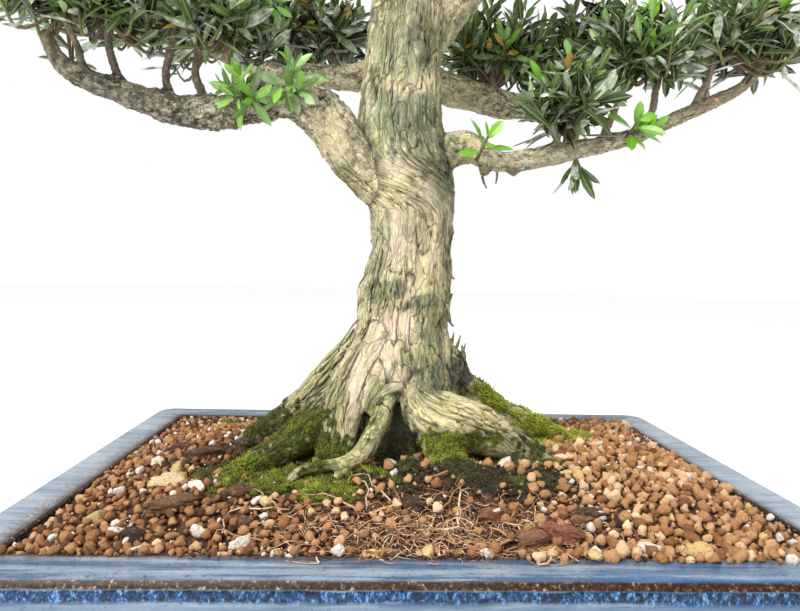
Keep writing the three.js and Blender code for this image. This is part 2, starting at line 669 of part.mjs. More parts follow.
const placed = [];
SHOOTS.forEach((shoot, i) => {
  const solid = youngShoot({ ...shoot, seed: 40 + i, treeSeat, others: placed });
  const material = shoot.name === "hanging_spray" ? MATERIALS.leaf : MATERIALS.youngLeaf;
  placed.push(place(shoot.name, solid, material));
});
const cores = HEADS.map((head, i) => headCore({ ...head, seed: i }));
HEADS.forEach((head, i) => {
  const core = cores[i];
  const others = [...placed, ...cores.filter((other) => other !== core)];
  placed.push(place(head.name, leafHead({ ...head, seed: i, core, treeSeat, others }), MATERIALS.leaf));
});

// The part's origin is the centre of its whole outline, on the plane of its feet.
const box = new THREE.Box3().setFromObject(group);
group.position.set(-(box.min.x + box.max.x) / 2, -(box.min.y + box.max.y) / 2, -box.min.z);

export default group;
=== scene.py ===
"""A podocarpus bonsai in a rectangular glazed pot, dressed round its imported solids."""
import itertools
import math

import bpy
import numpy as np
from bpy.props import FloatProperty, FloatVectorProperty, IntProperty, PointerProperty
from mathutils import Matrix, Vector
from mathutils.bvhtree import BVHTree


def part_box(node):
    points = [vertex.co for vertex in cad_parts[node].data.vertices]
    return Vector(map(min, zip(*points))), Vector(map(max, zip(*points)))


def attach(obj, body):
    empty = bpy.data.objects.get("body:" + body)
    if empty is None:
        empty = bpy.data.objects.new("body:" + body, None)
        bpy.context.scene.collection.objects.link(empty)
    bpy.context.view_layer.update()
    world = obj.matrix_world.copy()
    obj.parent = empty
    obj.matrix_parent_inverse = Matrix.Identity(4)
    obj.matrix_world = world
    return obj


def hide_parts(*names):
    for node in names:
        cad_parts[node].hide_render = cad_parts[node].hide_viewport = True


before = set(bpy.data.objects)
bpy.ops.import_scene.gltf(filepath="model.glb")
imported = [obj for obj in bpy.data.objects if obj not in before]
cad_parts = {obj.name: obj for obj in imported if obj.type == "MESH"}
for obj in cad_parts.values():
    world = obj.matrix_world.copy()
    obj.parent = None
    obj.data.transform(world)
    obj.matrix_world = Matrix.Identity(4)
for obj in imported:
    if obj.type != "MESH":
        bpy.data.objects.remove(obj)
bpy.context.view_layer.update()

bl_info = {
    "name": "Podocarpus bonsai",
    "version": (1, 0, 0),
    "blender": (4, 5, 0),
    "location": "3D View > Sidebar > Bonsai",
    "description": "Dresses the bonsai's tree, leaves, soil and pot round their solids",
    "category": "Object",
}

BODY = "root"

# Lengths below are in millimetres from the centre of the pot, with the ground at z = 0.
MM = 0.001
POT_LOW, POT_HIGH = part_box("pot")
ORIGIN = np.array([(POT_LOW.x + POT_HIGH.x) / 2, (POT_LOW.y + POT_HIGH.y) / 2, 0])
POT_HALF = np.array([POT_HIGH.x - POT_LOW.x, POT_HIGH.y - POT_LOW.y]) / 2 / MM
RIM_TOP = POT_HIGH.z / MM

# The soil's mound: its height at the rim, its rise to the trunk and how far it runs each way.
SOIL_EDGE = 116.5
SOIL_RISE = 23
SOIL_RUN = (222, 152)
RIM_WIDTH = 30


def metres(points):
    """Points of the frame from points in millimetres about the pot's centre."""
    return np.asarray(points, float) * MM + ORIGIN


def srgb(red, green, blue):
    """A colour read off a screen, from 0 to 255, as Blender's linear colour."""
    values = np.array([red, green, blue]) / 255
    linear = np.where(values <= 0.04045, values / 12.92, ((values + 0.055) / 1.055) ** 2.4)
    return (*linear.tolist(), 1.0)


def unit(vectors):
    """Vectors brought to length one."""
    vectors = np.asarray(vectors, float)
    return vectors / np.maximum(np.linalg.norm(vectors, axis=-1, keepdims=True), 1e-9)


def smoothstep(low, high, value):
    """A share that eases from 0 at low to 1 at high."""
    share = np.clip((np.asarray(value, float) - low) / (high - low), 0, 1)
    return share * share * (3 - 2 * share)


# Noise

def hashed(cell, seed):
    """A repeatable number from 0 to 1 for each whole cell."""
    mixed = (cell[:, 0] * 73856093) ^ (cell[:, 1] * 19349663) ^ (cell[:, 2] * 83492791)
    mixed = (mixed ^ (seed * 2654435761)) & 0xFFFFFFFF
    mixed = ((mixed ^ (mixed >> 15)) * 2246822519) & 0xFFFFFFFF
    mixed = ((mixed ^ (mixed >> 13)) * 3266489917) & 0xFFFFFFFF
    return (mixed ^ (mixed >> 16)) / 0xFFFFFFFF


def noise(points, seed=0):
    """Gradient noise, roughly from -1 to 1, for points in cells of size one."""
    cell = np.floor(points).astype(np.int64)
    offset = points - cell
    fade = offset ** 3 * (offset * (offset * 6 - 15) + 10)
    total = np.zeros(len(points))
    for corner in itertools.product((0, 1), repeat=3):
        weight = np.prod(np.where(corner, fade, 1 - fade), axis=1)
        away = offset - corner
        turn = 2 * math.pi * hashed(cell + corner, seed)
        height = 2 * hashed(cell + corner, seed + 7919) - 1
        flat = np.sqrt(1 - height * height)
        slope = flat * (np.cos(turn) * away[:, 0] + np.sin(turn) * away[:, 1]) + height * away[:, 2]
        total += weight * slope
    return 1.7 * total


def layered(points, seed=0, octaves=3):
    """Noise with finer noise on it."""
    return sum(noise(points * 2 ** k, seed + k) / 2 ** k for k in range(octaves))


# The wood's skeleton: knots of x, y, z and radius

TRUNK = [
    [-10, 2, 124, 52], [-10, 2, 140, 49], [-11, 2, 156, 46.5], [-11, 1, 170, 44.5],
    [-11, 0, 185, 42], [-11, 0, 196, 40.5], [-11, 0, 206, 37.5], [-10.5, 0, 216, 34.5], [-10, 0, 230, 32.5],
    [-8.5, 0, 243, 32.3], [-8, 0, 253, 31.6], [-6.5, 0, 266, 30], [-5, 0, 282, 28.8], [-5, 0, 300, 29.6],
    [-6, 0, 312, 31], [-9, 0, 328, 33], [-13, 0, 346, 34], [-16, 0, 364, 32], [-16.5, 0, 378, 30.6],
    [-16, 0, 392, 29.2], [-15, 0, 406, 27.6], [-14, 0, 420, 26.6], [-12.5, 0, 434, 26.4],
    [-11.5, 0, 448, 26], [-13, 0, 462, 23],
]
FLUTES = (10, 48, 92, 138, 182, 214, 248, 306)
FLUTE_WIDTH = 15
FLUTES_END = 222

ROOTS = [
    [[-30, 0, 222, 10], [-48, 2, 204, 12.5], [-64, 5, 186, 12], [-81, 8, 168, 10.5],
     [-102, 14, 149, 8.5], [-124, 24, 134, 7], [-148, 38, 116, 5]],
    [[-38, -16, 190, 13], [-60, -31, 167, 13], [-82, -44, 150, 11],
     [-104, -54, 138, 8.5], [-126, -63, 126, 6.5], [-142, -70, 112, 4]],
    [[-22, -16, 228, 12], [-31, -27, 208, 11.5], [-40, -36, 190, 10.5], [-46, -44, 173, 9.5],
     [-49, -50, 157, 8.5], [-52, -56, 142, 7], [-54, -60, 126, 5]],
    [[-36, -20, 214, 9], [-48, -30, 194, 9], [-56, -37, 176, 8.5], [-60, -44, 158, 8], [-62, -52, 138, 6]],
    [[-14, -38, 182, 4.5], [-22, -50, 176, 5], [-25, -57, 169, 5.8], [-30, -62, 160, 6.5],
     [-34.5, -66, 151.5, 6.9], [-41, -69, 145, 6.1], [-50, -71, 141.8, 4.6], [-60, -73, 141.3, 3.4],
     [-70, -75, 140, 3.4], [-77, -77, 137.5, 3.2], [-85, -80, 130, 2.6]],
    [[-39, -67, 146, 4.4], [-47, -73, 139, 3.4], [-55, -77, 133, 2.6]],
    [[-14, -18, 214, 15], [-17, -30, 200, 15], [-15, -36, 190, 11], [-14, -37, 185, 8]],
    [[2, -38, 184, 4], [-9, -43, 187, 4], [-17, -46.5, 187, 3.6], [-23, -48.5, 184.5, 3],
     [-28, -50, 180, 2.6], [-31, -51.5, 175, 2.3], [-33, -52.5, 168, 1.9]],
    [[-22, -24, 206, 12], [-28, -35, 193, 11], [-32.5, -41, 181, 9.5], [-37, -45, 170, 7]],
    [[4, -26, 194, 11], [2, -42, 177, 15], [13, -49, 168, 18], [34, -48, 161, 17],
     [55, -43, 152, 14.5], [76, -38, 140, 11], [98, -34, 127, 8], [114, -32, 112, 5]],
    [[10, -52, 156, 11], [19, -70, 143, 11], [30, -86, 133, 9], [40, -101, 118, 6]],
    [[14, 0, 206, 11], [28, 4, 188, 12.5], [45, 8, 169, 13], [66, 13, 156, 11.5],
     [92, 20, 146, 10], [120, 30, 132, 7], [140, 40, 115, 4.5]],
    [[10, 20, 200, 13], [28, 42, 178, 13.5], [44, 64, 157, 12], [60, 88, 138, 8.5], [74, 112, 118, 5]],
    [[-10, 26, 194, 12], [-9, 52, 166, 12], [-5, 80, 143, 9.5], [0, 108, 120, 5]],
    [[-34, 22, 198, 13], [-50, 46, 173, 13], [-64, 70, 151, 11], [-78, 96, 133, 8], [-90, 118, 115, 5]],
]
LIMBS = [
    [[-12, -2, 320, 17], [-31, -7, 330, 18.5], [-48, -13, 346, 17.5], [-64.5, -15, 367, 17],
     [-81, -16, 382, 15.5], [-98, -17, 386.5, 14.5], [-114, -17, 381, 13], [-132, -17, 375.5, 12],
     [-150, -17, 372.8, 11.5], [-171, -17, 373.5, 10.6], [-188, -17, 378.3, 9.8], [-209, -18, 385, 8.6],
     [-230, -19, 391.5, 7.6], [-250, -20, 402, 6], [-262, -20, 424, 4.4]],
    [[2, -2, 348, 15], [22, -6, 354, 12.5], [35, -9, 356, 11.4], [44, -10, 351, 9.4],
     [57, -10, 346, 7.4], [72, -10, 347.5, 7.6], [90, -10, 351, 7.6], [112, -12, 356, 7],
     [132, -13, 360.5, 6.4], [156, -14, 367.5, 5.8], [178, -15, 377.5, 5.2], [206, -16, 391, 4.8],
     [230, -17, 404, 4.2], [246, -18, 424, 3.4]],
    [[-16, 14, 416, 13], [-38, 36, 420, 11.5], [-57, 50, 421, 10.5], [-84, 62, 425, 9],
     [-114, 72, 430, 7.5], [-150, 81, 439, 6], [-186, 86, 456, 4.4]],
    [[-4, 16, 414, 13], [18, 38, 412, 13], [42, 50, 410, 12.5], [70, 58, 405.5, 11.2],
     [96, 66, 406, 9.4], [124, 74, 412, 7.4], [152, 80, 426, 5.6], [170, 84, 448, 4]],
    [[-12, 0, 446, 25], [-20, -2, 486, 20], [-27, -3, 524, 16.5], [-20, 0, 560, 13],
     [-10, 2, 598, 9.5], [-5, 1, 642, 5]],
    [[-2, 0, 430, 15], [16, 2, 453, 14.5], [34, 1, 474, 12.5], [56, -5, 493, 10.2],
     [84, -13, 510, 7.8], [116, -20, 544, 5]],
    [[-20, -2, 488, 13], [-44, -11, 508, 11], [-72, -21, 522, 8.6], [-102, -29, 537, 6.2],
     [-126, -32, 556, 4.2]],
    [[-22, 6, 498, 12], [-16, 36, 515, 10], [-7, 66, 528, 7.8], [1, 94, 556, 5]],
    [[-24, -8, 534, 10], [-18, -34, 552, 8], [-10, -60, 568, 6], [-4, -76, 594, 4]],
    [[-20, 0, 562, 8], [-36, 3, 594, 6.5], [-50, 6, 640, 4]],
    [[-12, 2, 588, 8], [14, 0, 610, 6], [36, -2, 644, 4]],
]
TWIGS = [
    [[-128, -17, 378, 3.4], [-132, -18, 398, 2.9], [-134, -20, 430, 2.2]],
    [[-153, -17, 376, 3.7], [-160, -16, 398, 3.2], [-156, -18, 432, 2.4]],
    [[-170, -17, 376, 3.4], [-179, -20, 398, 2.9], [-172, -24, 432, 2.2]],
    [[-205, -18, 386, 3.2], [-216, -20, 408, 2.9], [-218, -21, 440, 2.2]],
    [[-232, -19, 394, 3], [-236, -26, 412, 2.6], [-242, -30, 438, 2.1]],
    [[-66, 57, 424, 3.7], [-70, 62, 438, 3], [-72, 66, 452, 2.4]],
    [[-110, 71, 431, 3.2], [-108, 70, 442, 2.7], [-106, 70, 454, 2.4]],
    [[92, -10, 352, 2.9], [98, -16, 366, 2.6], [106, -20, 386, 2.2]],
    [[130, -13, 361, 3], [137, -16, 382, 2.7], [142, -18, 418, 2.2]],
    [[160, -14, 370, 3.2], [167, -14, 392, 2.9], [168, -16, 420, 2.4]],
    [[196, -15, 387, 2.9], [203, -18, 405, 2.6], [208, -18, 434, 2.2]],
    [[62, 56, 408, 4], [62, 58, 424, 3.5], [58, 60, 440, 2.7]],
    [[98, 66, 408, 3.2], [96, 66, 422, 2.7], [88, 66, 438, 2.4]],
    [[132, 76, 416, 3], [138, 78, 434, 2.6], [144, 80, 456, 2.2]],
    [[-74, -21, 523, 3.2], [-88, -26, 538, 2.7], [-96, -28, 558, 2.2]],
    [[82, -12, 509, 3.2], [86, -10, 526, 2.7], [94, -10, 550, 2.2]],
    [[-7, 66, 529, 3.2], [-24, 80, 542, 2.7], [-32, 88, 558, 2.2]],
]
STUBS = [
    [[-133, -18, 372, 5], [-132, -19, 362, 3.4]],
    [[-180, -17, 376, 4], [-180, -17, 389, 2.6]],
    [[46, -10, 350, 6], [46, -12, 336, 3.6]],
    [[64, -10, 347, 5], [68, -12, 336, 3]],
]
BURLS = [(-33, -2, 249, 11, 15, 12), (27, -8, 196, 10, 11, 13), (-5, -24, 418, 6, 6, 7)]

# Dead twigs and splinters too thin to be part of the wood's skin.
THIN_TWIGS = [
    [[-36, -10, 236, 1.2], [-44.7, -14, 228, 0.95], [-50.5, -15, 220, 0.8], [-56, -16, 211, 0.7],
     [-56.4, -16, 206, 0.6]],
    [[22, -5, 204, 2.6], [26, -6, 212, 1.6], [27.6, -6, 221, 0.5]],
    [[25, -4, 202, 2.6], [30, -5, 210, 1.5], [33, -4, 219, 0.4]],
    [[20, -8, 204, 2.2], [22, -9, 212, 1.2], [22.5, -9, 217, 0.4]],
    [[30, -2, 198, 2.4], [35, -3, 206, 1.2], [37, -3, 213, 0.4]],
    [[-40, 8, 216, 1.6], [-52, 6, 205, 1.1], [-62, 4, 196, 0.7], [-66, 3, 188, 0.5]],
    [[52, -10, 346, 1.4], [55, -12, 338, 1.0], [54, -13, 330, 0.5]],
    [[47, -10, 344, 1.6], [44, -14, 334, 1.0], [47, -16, 326, 0.5]],
]


def rounded_path(knots, step=4.0):
    """Points and radii every few millimetres along a smooth curve through knots."""
    knots = np.array(knots, float)
    ends = np.vstack([2 * knots[0] - knots[1], knots, 2 * knots[-1] - knots[-2]])
    found = []
    for i in range(len(knots) - 1):
        a, b, c, d = ends[i:i + 4]
        count = max(2, int(np.linalg.norm(c[:3] - b[:3]) / step))
        for t in np.arange(count) / count:
            bend = 2 * b + (c - a) * t + (2 * a - 5 * b + 4 * c - d) * t * t
            found.append(0.5 * (bend + (3 * b - a - 3 * c + d) * t ** 3))
    found.append(knots[-1])
    return np.array(found)


def walked(path):
    """The length walked along a path up to each of its points."""
    return np.r_[0, np.cumsum(np.linalg.norm(np.diff(path[:, :3], axis=0), axis=1))]


def framed(path):
    """The tangents and two steady sideways directions along a path, the first of them forwards."""
    tangents = unit(np.gradient(path[:, :3], axis=0))
    normal = np.array([0.1, -1, 0.15])
    normals = []
    for tangent in tangents:
        normal = unit(normal - tangent * (normal @ tangent))
        normals.append(normal)
    normals = np.array(normals)
    return tangents, normals, np.cross(tangents, normals)


def fluting(angle, height):
    """How far the trunk's ridges stand out or in, as a share of its radius."""
    degrees = np.degrees(angle)
    low = smoothstep(RIM_TOP, FLUTES_END, height)
    lobe = sum(np.exp(-(((degrees - f + 540) % 360 - 180) / FLUTE_WIDTH) ** 2) for f in FLUTES)
    waves = 0.028 * np.cos(3 * angle + height * 0.035) + 0.02 * np.cos(7 * angle - height * 0.02)
    return 1 + (1 - low) * (0.16 * lobe - 0.1) + waves


def crooked(knots):
    """A twig's knots with a kink between each two."""
    knots = np.array(knots, float)
    middles = (knots[1:] + knots[:-1]) / 2
    middles[:, 0] += 5 * noise(middles[:, :3] / 7, 77)
    middles[:, 1] += 5 * noise(middles[:, :3] / 7, 78)
    merged = np.repeat(knots, 2, axis=0)[:-1]
    merged[1::2] = middles
    return merged


class Skeleton:
    """Every limb's middle line, to find which limb a point on the bark belongs to."""

    def __init__(self, groups):
        paths = [rounded_path(knots) for _, knots in groups]
        frames = [framed(path) for path in paths]
        self.kinds = np.array([kind for kind, _ in groups])
        self.points = np.vstack([path[:, :3] for path in paths])
        self.radii = np.concatenate([path[:, 3] for path in paths])
        self.tangents, self.normals, self.sides = (np.vstack(axes) for axes in zip(*frames))
        self.along = np.concatenate([walked(path) for path in paths])
        self.starts = np.r_[0, np.cumsum([len(path) for path in paths])][:-1]
        self.ends = np.r_[self.starts[1:], len(self.points)]
        self.girth = np.array([path[:, 3].mean() for path in paths])

    def reach(self, points):
        """For each point, its distance to each sample over that sample's radius."""
        square = (points ** 2).sum(1)[:, None] - 2 * points @ self.points.T + (self.points ** 2).sum(1)
        return np.sqrt(np.maximum(square, 0)) / self.radii

    def clearance(self, points):
        """The distance from each point to the wood's surface, below zero inside it."""
        found = []
        for part in np.array_split(points, len(points) // 4000 + 1):
            found.append(((self.reach(part) - 1) * self.radii).min(1))
        return np.concatenate(found)

    def nearest(self, points, count=2):
        """For each point, the samples of its nearest limbs and a weight for each limb."""
        samples, weights = [], []
        for part in np.array_split(points, len(points) // 6000 + 1):
            reach = self.reach(part)
            limb_reach = np.minimum.reduceat(reach, self.starts, axis=1)
            order = np.argsort(limb_reach, axis=1)[:, :count]
            chosen = np.zeros((len(part), count), int)
            for k in range(count):
                for limb in np.unique(order[:, k]):
                    rows = np.where(order[:, k] == limb)[0]
                    span = slice(self.starts[limb], self.ends[limb])
                    chosen[rows, k] = reach[rows, span].argmin(1) + span.start
            samples.append(chosen)
            weights.append(np.take_along_axis(limb_reach, order, 1) ** -6.0)
        weights = np.vstack(weights)
        return np.vstack(samples), weights / weights.sum(1, keepdims=True)

    def sample(self, points):
        """The nearest sample to each point."""
        return self.nearest(points, 1)[0][:, 0]

    def local(self, points, sample):
        """A point's place in its limb's own frame: two sideways offsets and the length along."""
        away = points - self.points[sample]
        forward = (away * self.tangents[sample]).sum(1)
        sideways = (away * self.normals[sample]).sum(1)
        across = (away * self.sides[sample]).sum(1)
        turn = np.where(sample < self.ends[0], SWIRL * smoothstep(*SWIRL_SPAN, points[:, 2]), 0)
        turned = sideways * np.cos(turn) - across * np.sin(turn)
        across = sideways * np.sin(turn) + across * np.cos(turn)
        return np.column_stack([turned, across, self.along[sample] + forward])

    def flow(self, points, sample):
        """The direction of the bark's grain at each point."""
        away = points - self.points[sample]
        around = unit(np.cross(self.tangents[sample], away))
        nudge = 1.0
        low, high = SWIRL_SPAN
        slope = smoothstep(low, high, points[:, 2] + nudge) - smoothstep(low, high, points[:, 2])
        lean = np.where(sample < self.ends[0], SWIRL * slope / nudge * self.radii[sample], 0)
        return unit(self.tangents[sample] - around * lean[:, None])

    def kind(self, sample):
        """The kind of limb that each sample is on."""
        return self.kinds[np.searchsorted(self.starts, sample, side="right") - 1]


# The grain of the trunk's bark turns this far round it, in radians, between these heights.
SWIRL = 1.7
SWIRL_SPAN = (304, 350)
STRIPPED, SCALY, TWIGGY = range(3)
TWIG_PATHS = [crooked(knots) for knots in TWIGS] + STUBS
WOOD = Skeleton(
    [(STRIPPED, TRUNK)] + [(STRIPPED, knots) for knots in ROOTS]
    + [(SCALY, knots) for knots in LIMBS] + [(TWIGGY, knots) for knots in TWIG_PATHS]
)


# Meshes and pieces

def settle(piece, material, replaced=()):
    """Gives a finished piece its material, and says what it rides on and stands for."""
    piece.data.materials.clear()
    piece.data.materials.append(material)
    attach(piece, BODY)
    if replaced:
        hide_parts(*replaced)
    return piece


def mesh_object(name, points, faces, attributes=None, smooth=True):
    """A mesh from points in millimetres, with a number or a vector for each point under each name."""
    mesh = bpy.data.meshes.new(name)
    points = metres(points)
    faces = np.asarray(faces, np.int32)
    mesh.vertices.add(len(points))
    mesh.vertices.foreach_set("co", points.astype(np.float32).ravel())
    mesh.loops.add(faces.size)
    mesh.loops.foreach_set("vertex_index", faces.ravel())
    mesh.polygons.add(len(faces))
    mesh.polygons.foreach_set("loop_start", np.arange(len(faces), dtype=np.int32) * faces.shape[1])
    mesh.update(calc_edges=True)
    mesh.polygons.foreach_set("use_smooth", np.full(len(faces), smooth))
    add_attributes(mesh, attributes or {})
    piece = bpy.data.objects.new(name, mesh)
    bpy.context.scene.collection.objects.link(piece)
    return piece


def add_attributes(mesh, attributes):
    """Stores a number or a vector for each point of a mesh."""
    for name, values in attributes.items():
        values = np.asarray(values, np.float32)
        kind, key = ("FLOAT", "value") if values.ndim == 1 else ("FLOAT_VECTOR", "vector")
        made = mesh.attributes.new(name, kind, "POINT")
        made.data.foreach_set(key, values.ravel())


def points_of(piece):
    """A piece's points in millimetres about the pot's centre."""
    flat = np.zeros(len(piece.data.vertices) * 3, np.float32)
    piece.data.vertices.foreach_get("co", flat)
    return (flat.reshape(-1, 3).astype(float) - ORIGIN) / MM


def move_points(piece, points):
    """Puts a piece's points where they are given, in millimetres."""
    piece.data.vertices.foreach_set("co", metres(points).astype(np.float32).ravel())
    piece.data.update()


def normals_of(piece):
    """The outward direction at each point of a piece."""
    flat = np.zeros(len(piece.data.vertices) * 3, np.float32)
    piece.data.vertices.foreach_get("normal", flat)
    return flat.reshape(-1, 3).astype(float)


def pick(piece):
    """Makes a piece the only selected object, and the active one."""
    bpy.ops.object.select_all(action="DESELECT")
    piece.select_set(True)
    bpy.context.view_layer.objects.active = piece


def apply_modifier(piece, kind, **values):
    """Adds a modifier to a piece and applies it."""
    pick(piece)
    modifier = piece.modifiers.new(kind.lower(), kind)
    for name, value in values.items():
        setattr(modifier, name, value)
    bpy.ops.object.modifier_apply(modifier=modifier.name)


def join(pieces, name):
    """Joins pieces into one under a new name."""
    pick(pieces[0])
    for piece in pieces[1:]:
        piece.select_set(True)
    bpy.ops.object.join()
    joined = bpy.context.view_layer.objects.active
    joined.name = name
    joined.data.name = name
    return joined


def template(piece):
    """A modelled object's points, in its own units, and its triangles; the object is removed."""
    apply_modifier(piece, "TRIANGULATE")
    points = np.array([vertex.co for vertex in piece.data.vertices], float)
    faces = np.array([polygon.vertices for polygon in piece.data.polygons], int)
    bpy.data.objects.remove(piece)
    return points, faces


def stamped(shape, places):
    """Copies of one template under many 3 by 4 placements, as points and faces."""
    points, faces = shape
    turned = np.einsum("nij,vj->nvi", places[:, :, :3], points) + places[:, None, :, 3]
    shifts = np.arange(len(places))[:, None, None] * len(points)
    return turned.reshape(-1, 3), (faces[None] + shifts).reshape(-1, faces.shape[1])


def repeated(values, count):
    """Each value once for every point of its copy."""
    return np.repeat(np.asarray(values, float), count, axis=0)


def gathered(parts):
    """Several lots of points, faces and attributes as one."""
    points, faces, shift = [], [], 0
    for part_points, part_faces, _ in parts:
        points.append(part_points)
        faces.append(part_faces + shift)
        shift += len(part_points)
    names = parts[0][2].keys()
    attributes = {name: np.concatenate([part[2][name] for part in parts]) for name in names}
    return np.vstack(points), np.vstack(faces), attributes


def ring_faces(rows, sides):
    """Triangles between rings of points, one ring after the other."""
    i = np.arange(sides)
    after = (i + 1) % sides
    faces = []
    for k in range(rows - 1):
        low, high = k * sides, (k + 1) * sides
        faces.append(np.column_stack([low + i, low + after, high + after]))
        faces.append(np.column_stack([low + i, high + after, high + i]))
    return np.vstack(faces)


def capped(rings):
    """A closed skin over rings of points, with a middle point at each end."""
    rows, sides = len(rings), len(rings[0])
    i = np.arange(sides)
    after = (i + 1) % sides
    first, last, top = rows * sides, rows * sides + 1, (rows - 1) * sides
    faces = [
        ring_faces(rows, sides),
        np.column_stack([np.full(sides, first), after, i]),
        np.column_stack([np.full(sides, last), top + i, top + after]),
    ]
    points = np.vstack([*rings, rings[0].mean(0), rings[-1].mean(0)])
    return points, np.vstack(faces)


def any_turns(random, count):
    """Random rotations, one for each copy."""
    w, x, y, z = unit(random.normal(size=(count, 4))).T
    rows = [
        [1 - 2 * (y * y + z * z), 2 * (x * y - z * w), 2 * (x * z + y * w)],
        [2 * (x * y + z * w), 1 - 2 * (x * x + z * z), 2 * (y * z - x * w)],
        [2 * (x * z - y * w), 2 * (y * z + x * w), 1 - 2 * (x * x + y * y)],
    ]
    return np.array(rows).transpose(2, 0, 1)


def tubes(paths, sides):
    """Thin closed tubes along paths of x, y, z and radius, with the share along each."""
    around = np.arange(sides) * 2 * math.pi / sides
    parts = []
    for path in paths:
        _, normals, binormals = framed(path)
        ring = np.cos(around)[:, None] * normals[:, None] + np.sin(around)[:, None] * binormals[:, None]
        points, faces = capped(path[:, None, :3] + path[:, 3, None, None] * ring)
        share = np.r_[np.repeat(np.linspace(0, 1, len(path)), sides), 0, 1]
        parts.append((points, faces, {"along": share}))
    return gathered(parts)


# Shader nodes

class Nodes:
    """A node tree, with a short way to add each kind of node to it."""

    def __init__(self, tree):
        self.tree = tree

    def put(self, value, socket):
        """Links a node's output to a socket, or sets the socket to a value."""
        if isinstance(value, bpy.types.NodeSocket):
            self.tree.links.new(value, socket)
        else:
            socket.default_value = value

    def node(self, kind, inputs=None, **options):
        """A node with its options, and its inputs as values or as other nodes' outputs."""
        made = self.tree.nodes.new("ShaderNode" + kind)
        for name, value in options.items():
            setattr(made, name, value)
        for key, value in (inputs or {}).items():
            self.put(value, made.inputs[key])
        return made

    def attribute(self, name, output="Fac"):
        """A named value of the mesh."""
        return self.node("Attribute", attribute_name=name).outputs[output]

    def place(self):
        """The point's place on the piece, in metres."""
        return self.node("TexCoord").outputs["Object"]

    def mixed(self, factor, a, b):
        """Two colours mixed."""
        return self.node("Mix", {0: factor, 6: a, 7: b}, data_type="RGBA").outputs[2]

    def maths(self, operation, a, b=0.0, clamp=False):
        """Two numbers worked together."""
        return self.node("Math", {0: a, 1: b}, operation=operation, use_clamp=clamp).outputs[0]

    def times(self, a, b):
        """Two numbers multiplied."""
        return self.maths("MULTIPLY", a, b)

    def plus(self, total, *others, clamp=False):
        """Numbers added up one after the other."""
        for other in others:
            total = self.maths("ADD", total, other, clamp)
        return total

    def minus(self, a, b):
        """One number less another."""
        return self.maths("SUBTRACT", a, b)

    def rest(self, value):
        """What a value leaves of 1, and never less than 0."""
        return self.maths("SUBTRACT", 1.0, value, True)

    def scaled(self, value, amount):
        """A mask turned down or up by an amount, and kept between 0 and 1."""
        return self.maths("MULTIPLY", value, amount, True)

    def about(self, value, amount):
        """A number from 0 to 1 brought to lie about nought, by an amount."""
        return self.times(self.minus(value, 0.5), amount)

    def vector(self, operation, a, b=(0, 0, 0)):
        """Two vectors worked together."""
        return self.node("VectorMath", {0: a, 1: b}, operation=operation).outputs[0]

    def ramp(self, factor, stops):
        """A colour or a grey that follows a factor through stops."""
        made = self.node("ValToRGB", {"Fac": factor})
        elements = made.color_ramp.elements
        while len(elements) < len(stops):
            elements.new(0.5)
        for element, (position, colour) in zip(elements, stops):
            element.position = position
            element.color = (colour, colour, colour, 1) if isinstance(colour, float) else colour
        return made.outputs["Color"]

    def noise(self, vector, scale, detail=4.0, roughness=0.55):
        """Blender's noise on a vector."""
        inputs = {"Vector": vector, "Scale": scale, "Detail": detail, "Roughness": roughness}
        return self.node("TexNoise", inputs).outputs["Fac"]

    def stretched(self, vector, scale):
        """A vector scaled by an amount for each axis."""
        return self.node("Mapping", {"Vector": vector, "Scale": scale}).outputs["Vector"]

    def bump(self, height, depth):
        """The normal that a height gives at a depth in metres."""
        return self.node("Bump", {"Height": height, "Distance": depth, "Strength": 1.0}).outputs["Normal"]

    def relief(self, vector, scale, depth):
        """The shared fine relief at a scale and a depth in metres: its normal and its mask."""
        inputs = {"Vector": vector, "Scale": scale, "Depth": depth}
        made = self.node("Group", inputs, node_tree=relief_group())
        return made.outputs["Normal"], made.outputs["Mask"]


class Look(Nodes):
    """A new material's nodes, with one Principled shader."""

    def __init__(self, name):
        self.material = bpy.data.materials.new(name)
        self.material.use_nodes = True
        super().__init__(self.material.node_tree)
        self.shader = self.tree.nodes["Principled BSDF"].inputs

    def finished(self, colour, roughness, normal=None):
        """Puts a colour, a roughness and a normal on the shader, and gives the material."""
        self.put(colour, self.shader["Base Color"])
        self.put(roughness, self.shader["Roughness"])
        if normal is not None:
            self.put(normal, self.shader["Normal"])
        return self.material


def relief_group():
    """Fine relief that several materials share: a bumped normal and the mask that it follows."""
    found = bpy.data.node_groups.get("fine_relief")
    if found:
        return found
    group = bpy.data.node_groups.new("fine_relief", "ShaderNodeTree")
    for name, kind in (("Vector", "Vector"), ("Scale", "Float"), ("Depth", "Float")):
        group.interface.new_socket(name, in_out="INPUT", socket_type="NodeSocket" + kind)
    group.interface.new_socket("Normal", in_out="OUTPUT", socket_type="NodeSocketVector")
    group.interface.new_socket("Mask", in_out="OUTPUT", socket_type="NodeSocketFloat")
    start = group.nodes.new("NodeGroupInput").outputs
    end = group.nodes.new("NodeGroupOutput").inputs
    look = Nodes(group)
    coarse = look.noise(start["Vector"], start["Scale"], 6.0, 0.65)
    look.put(look.bump(coarse, start["Depth"]), end["Normal"])
    look.put(coarse, end["Mask"])
    return group


def colour_prop(name, description, colour):
    """A colour that a user may change."""
    return FloatVectorProperty(
        name=name, description=description, subtype="COLOR", size=4, min=0, max=1, default=colour)


def length_prop(name, description, millimetres):
    """A length that a user may change."""
    return FloatProperty(
        name=name, description=description, unit="LENGTH", subtype="DISTANCE", default=millimetres * MM)


# The pot

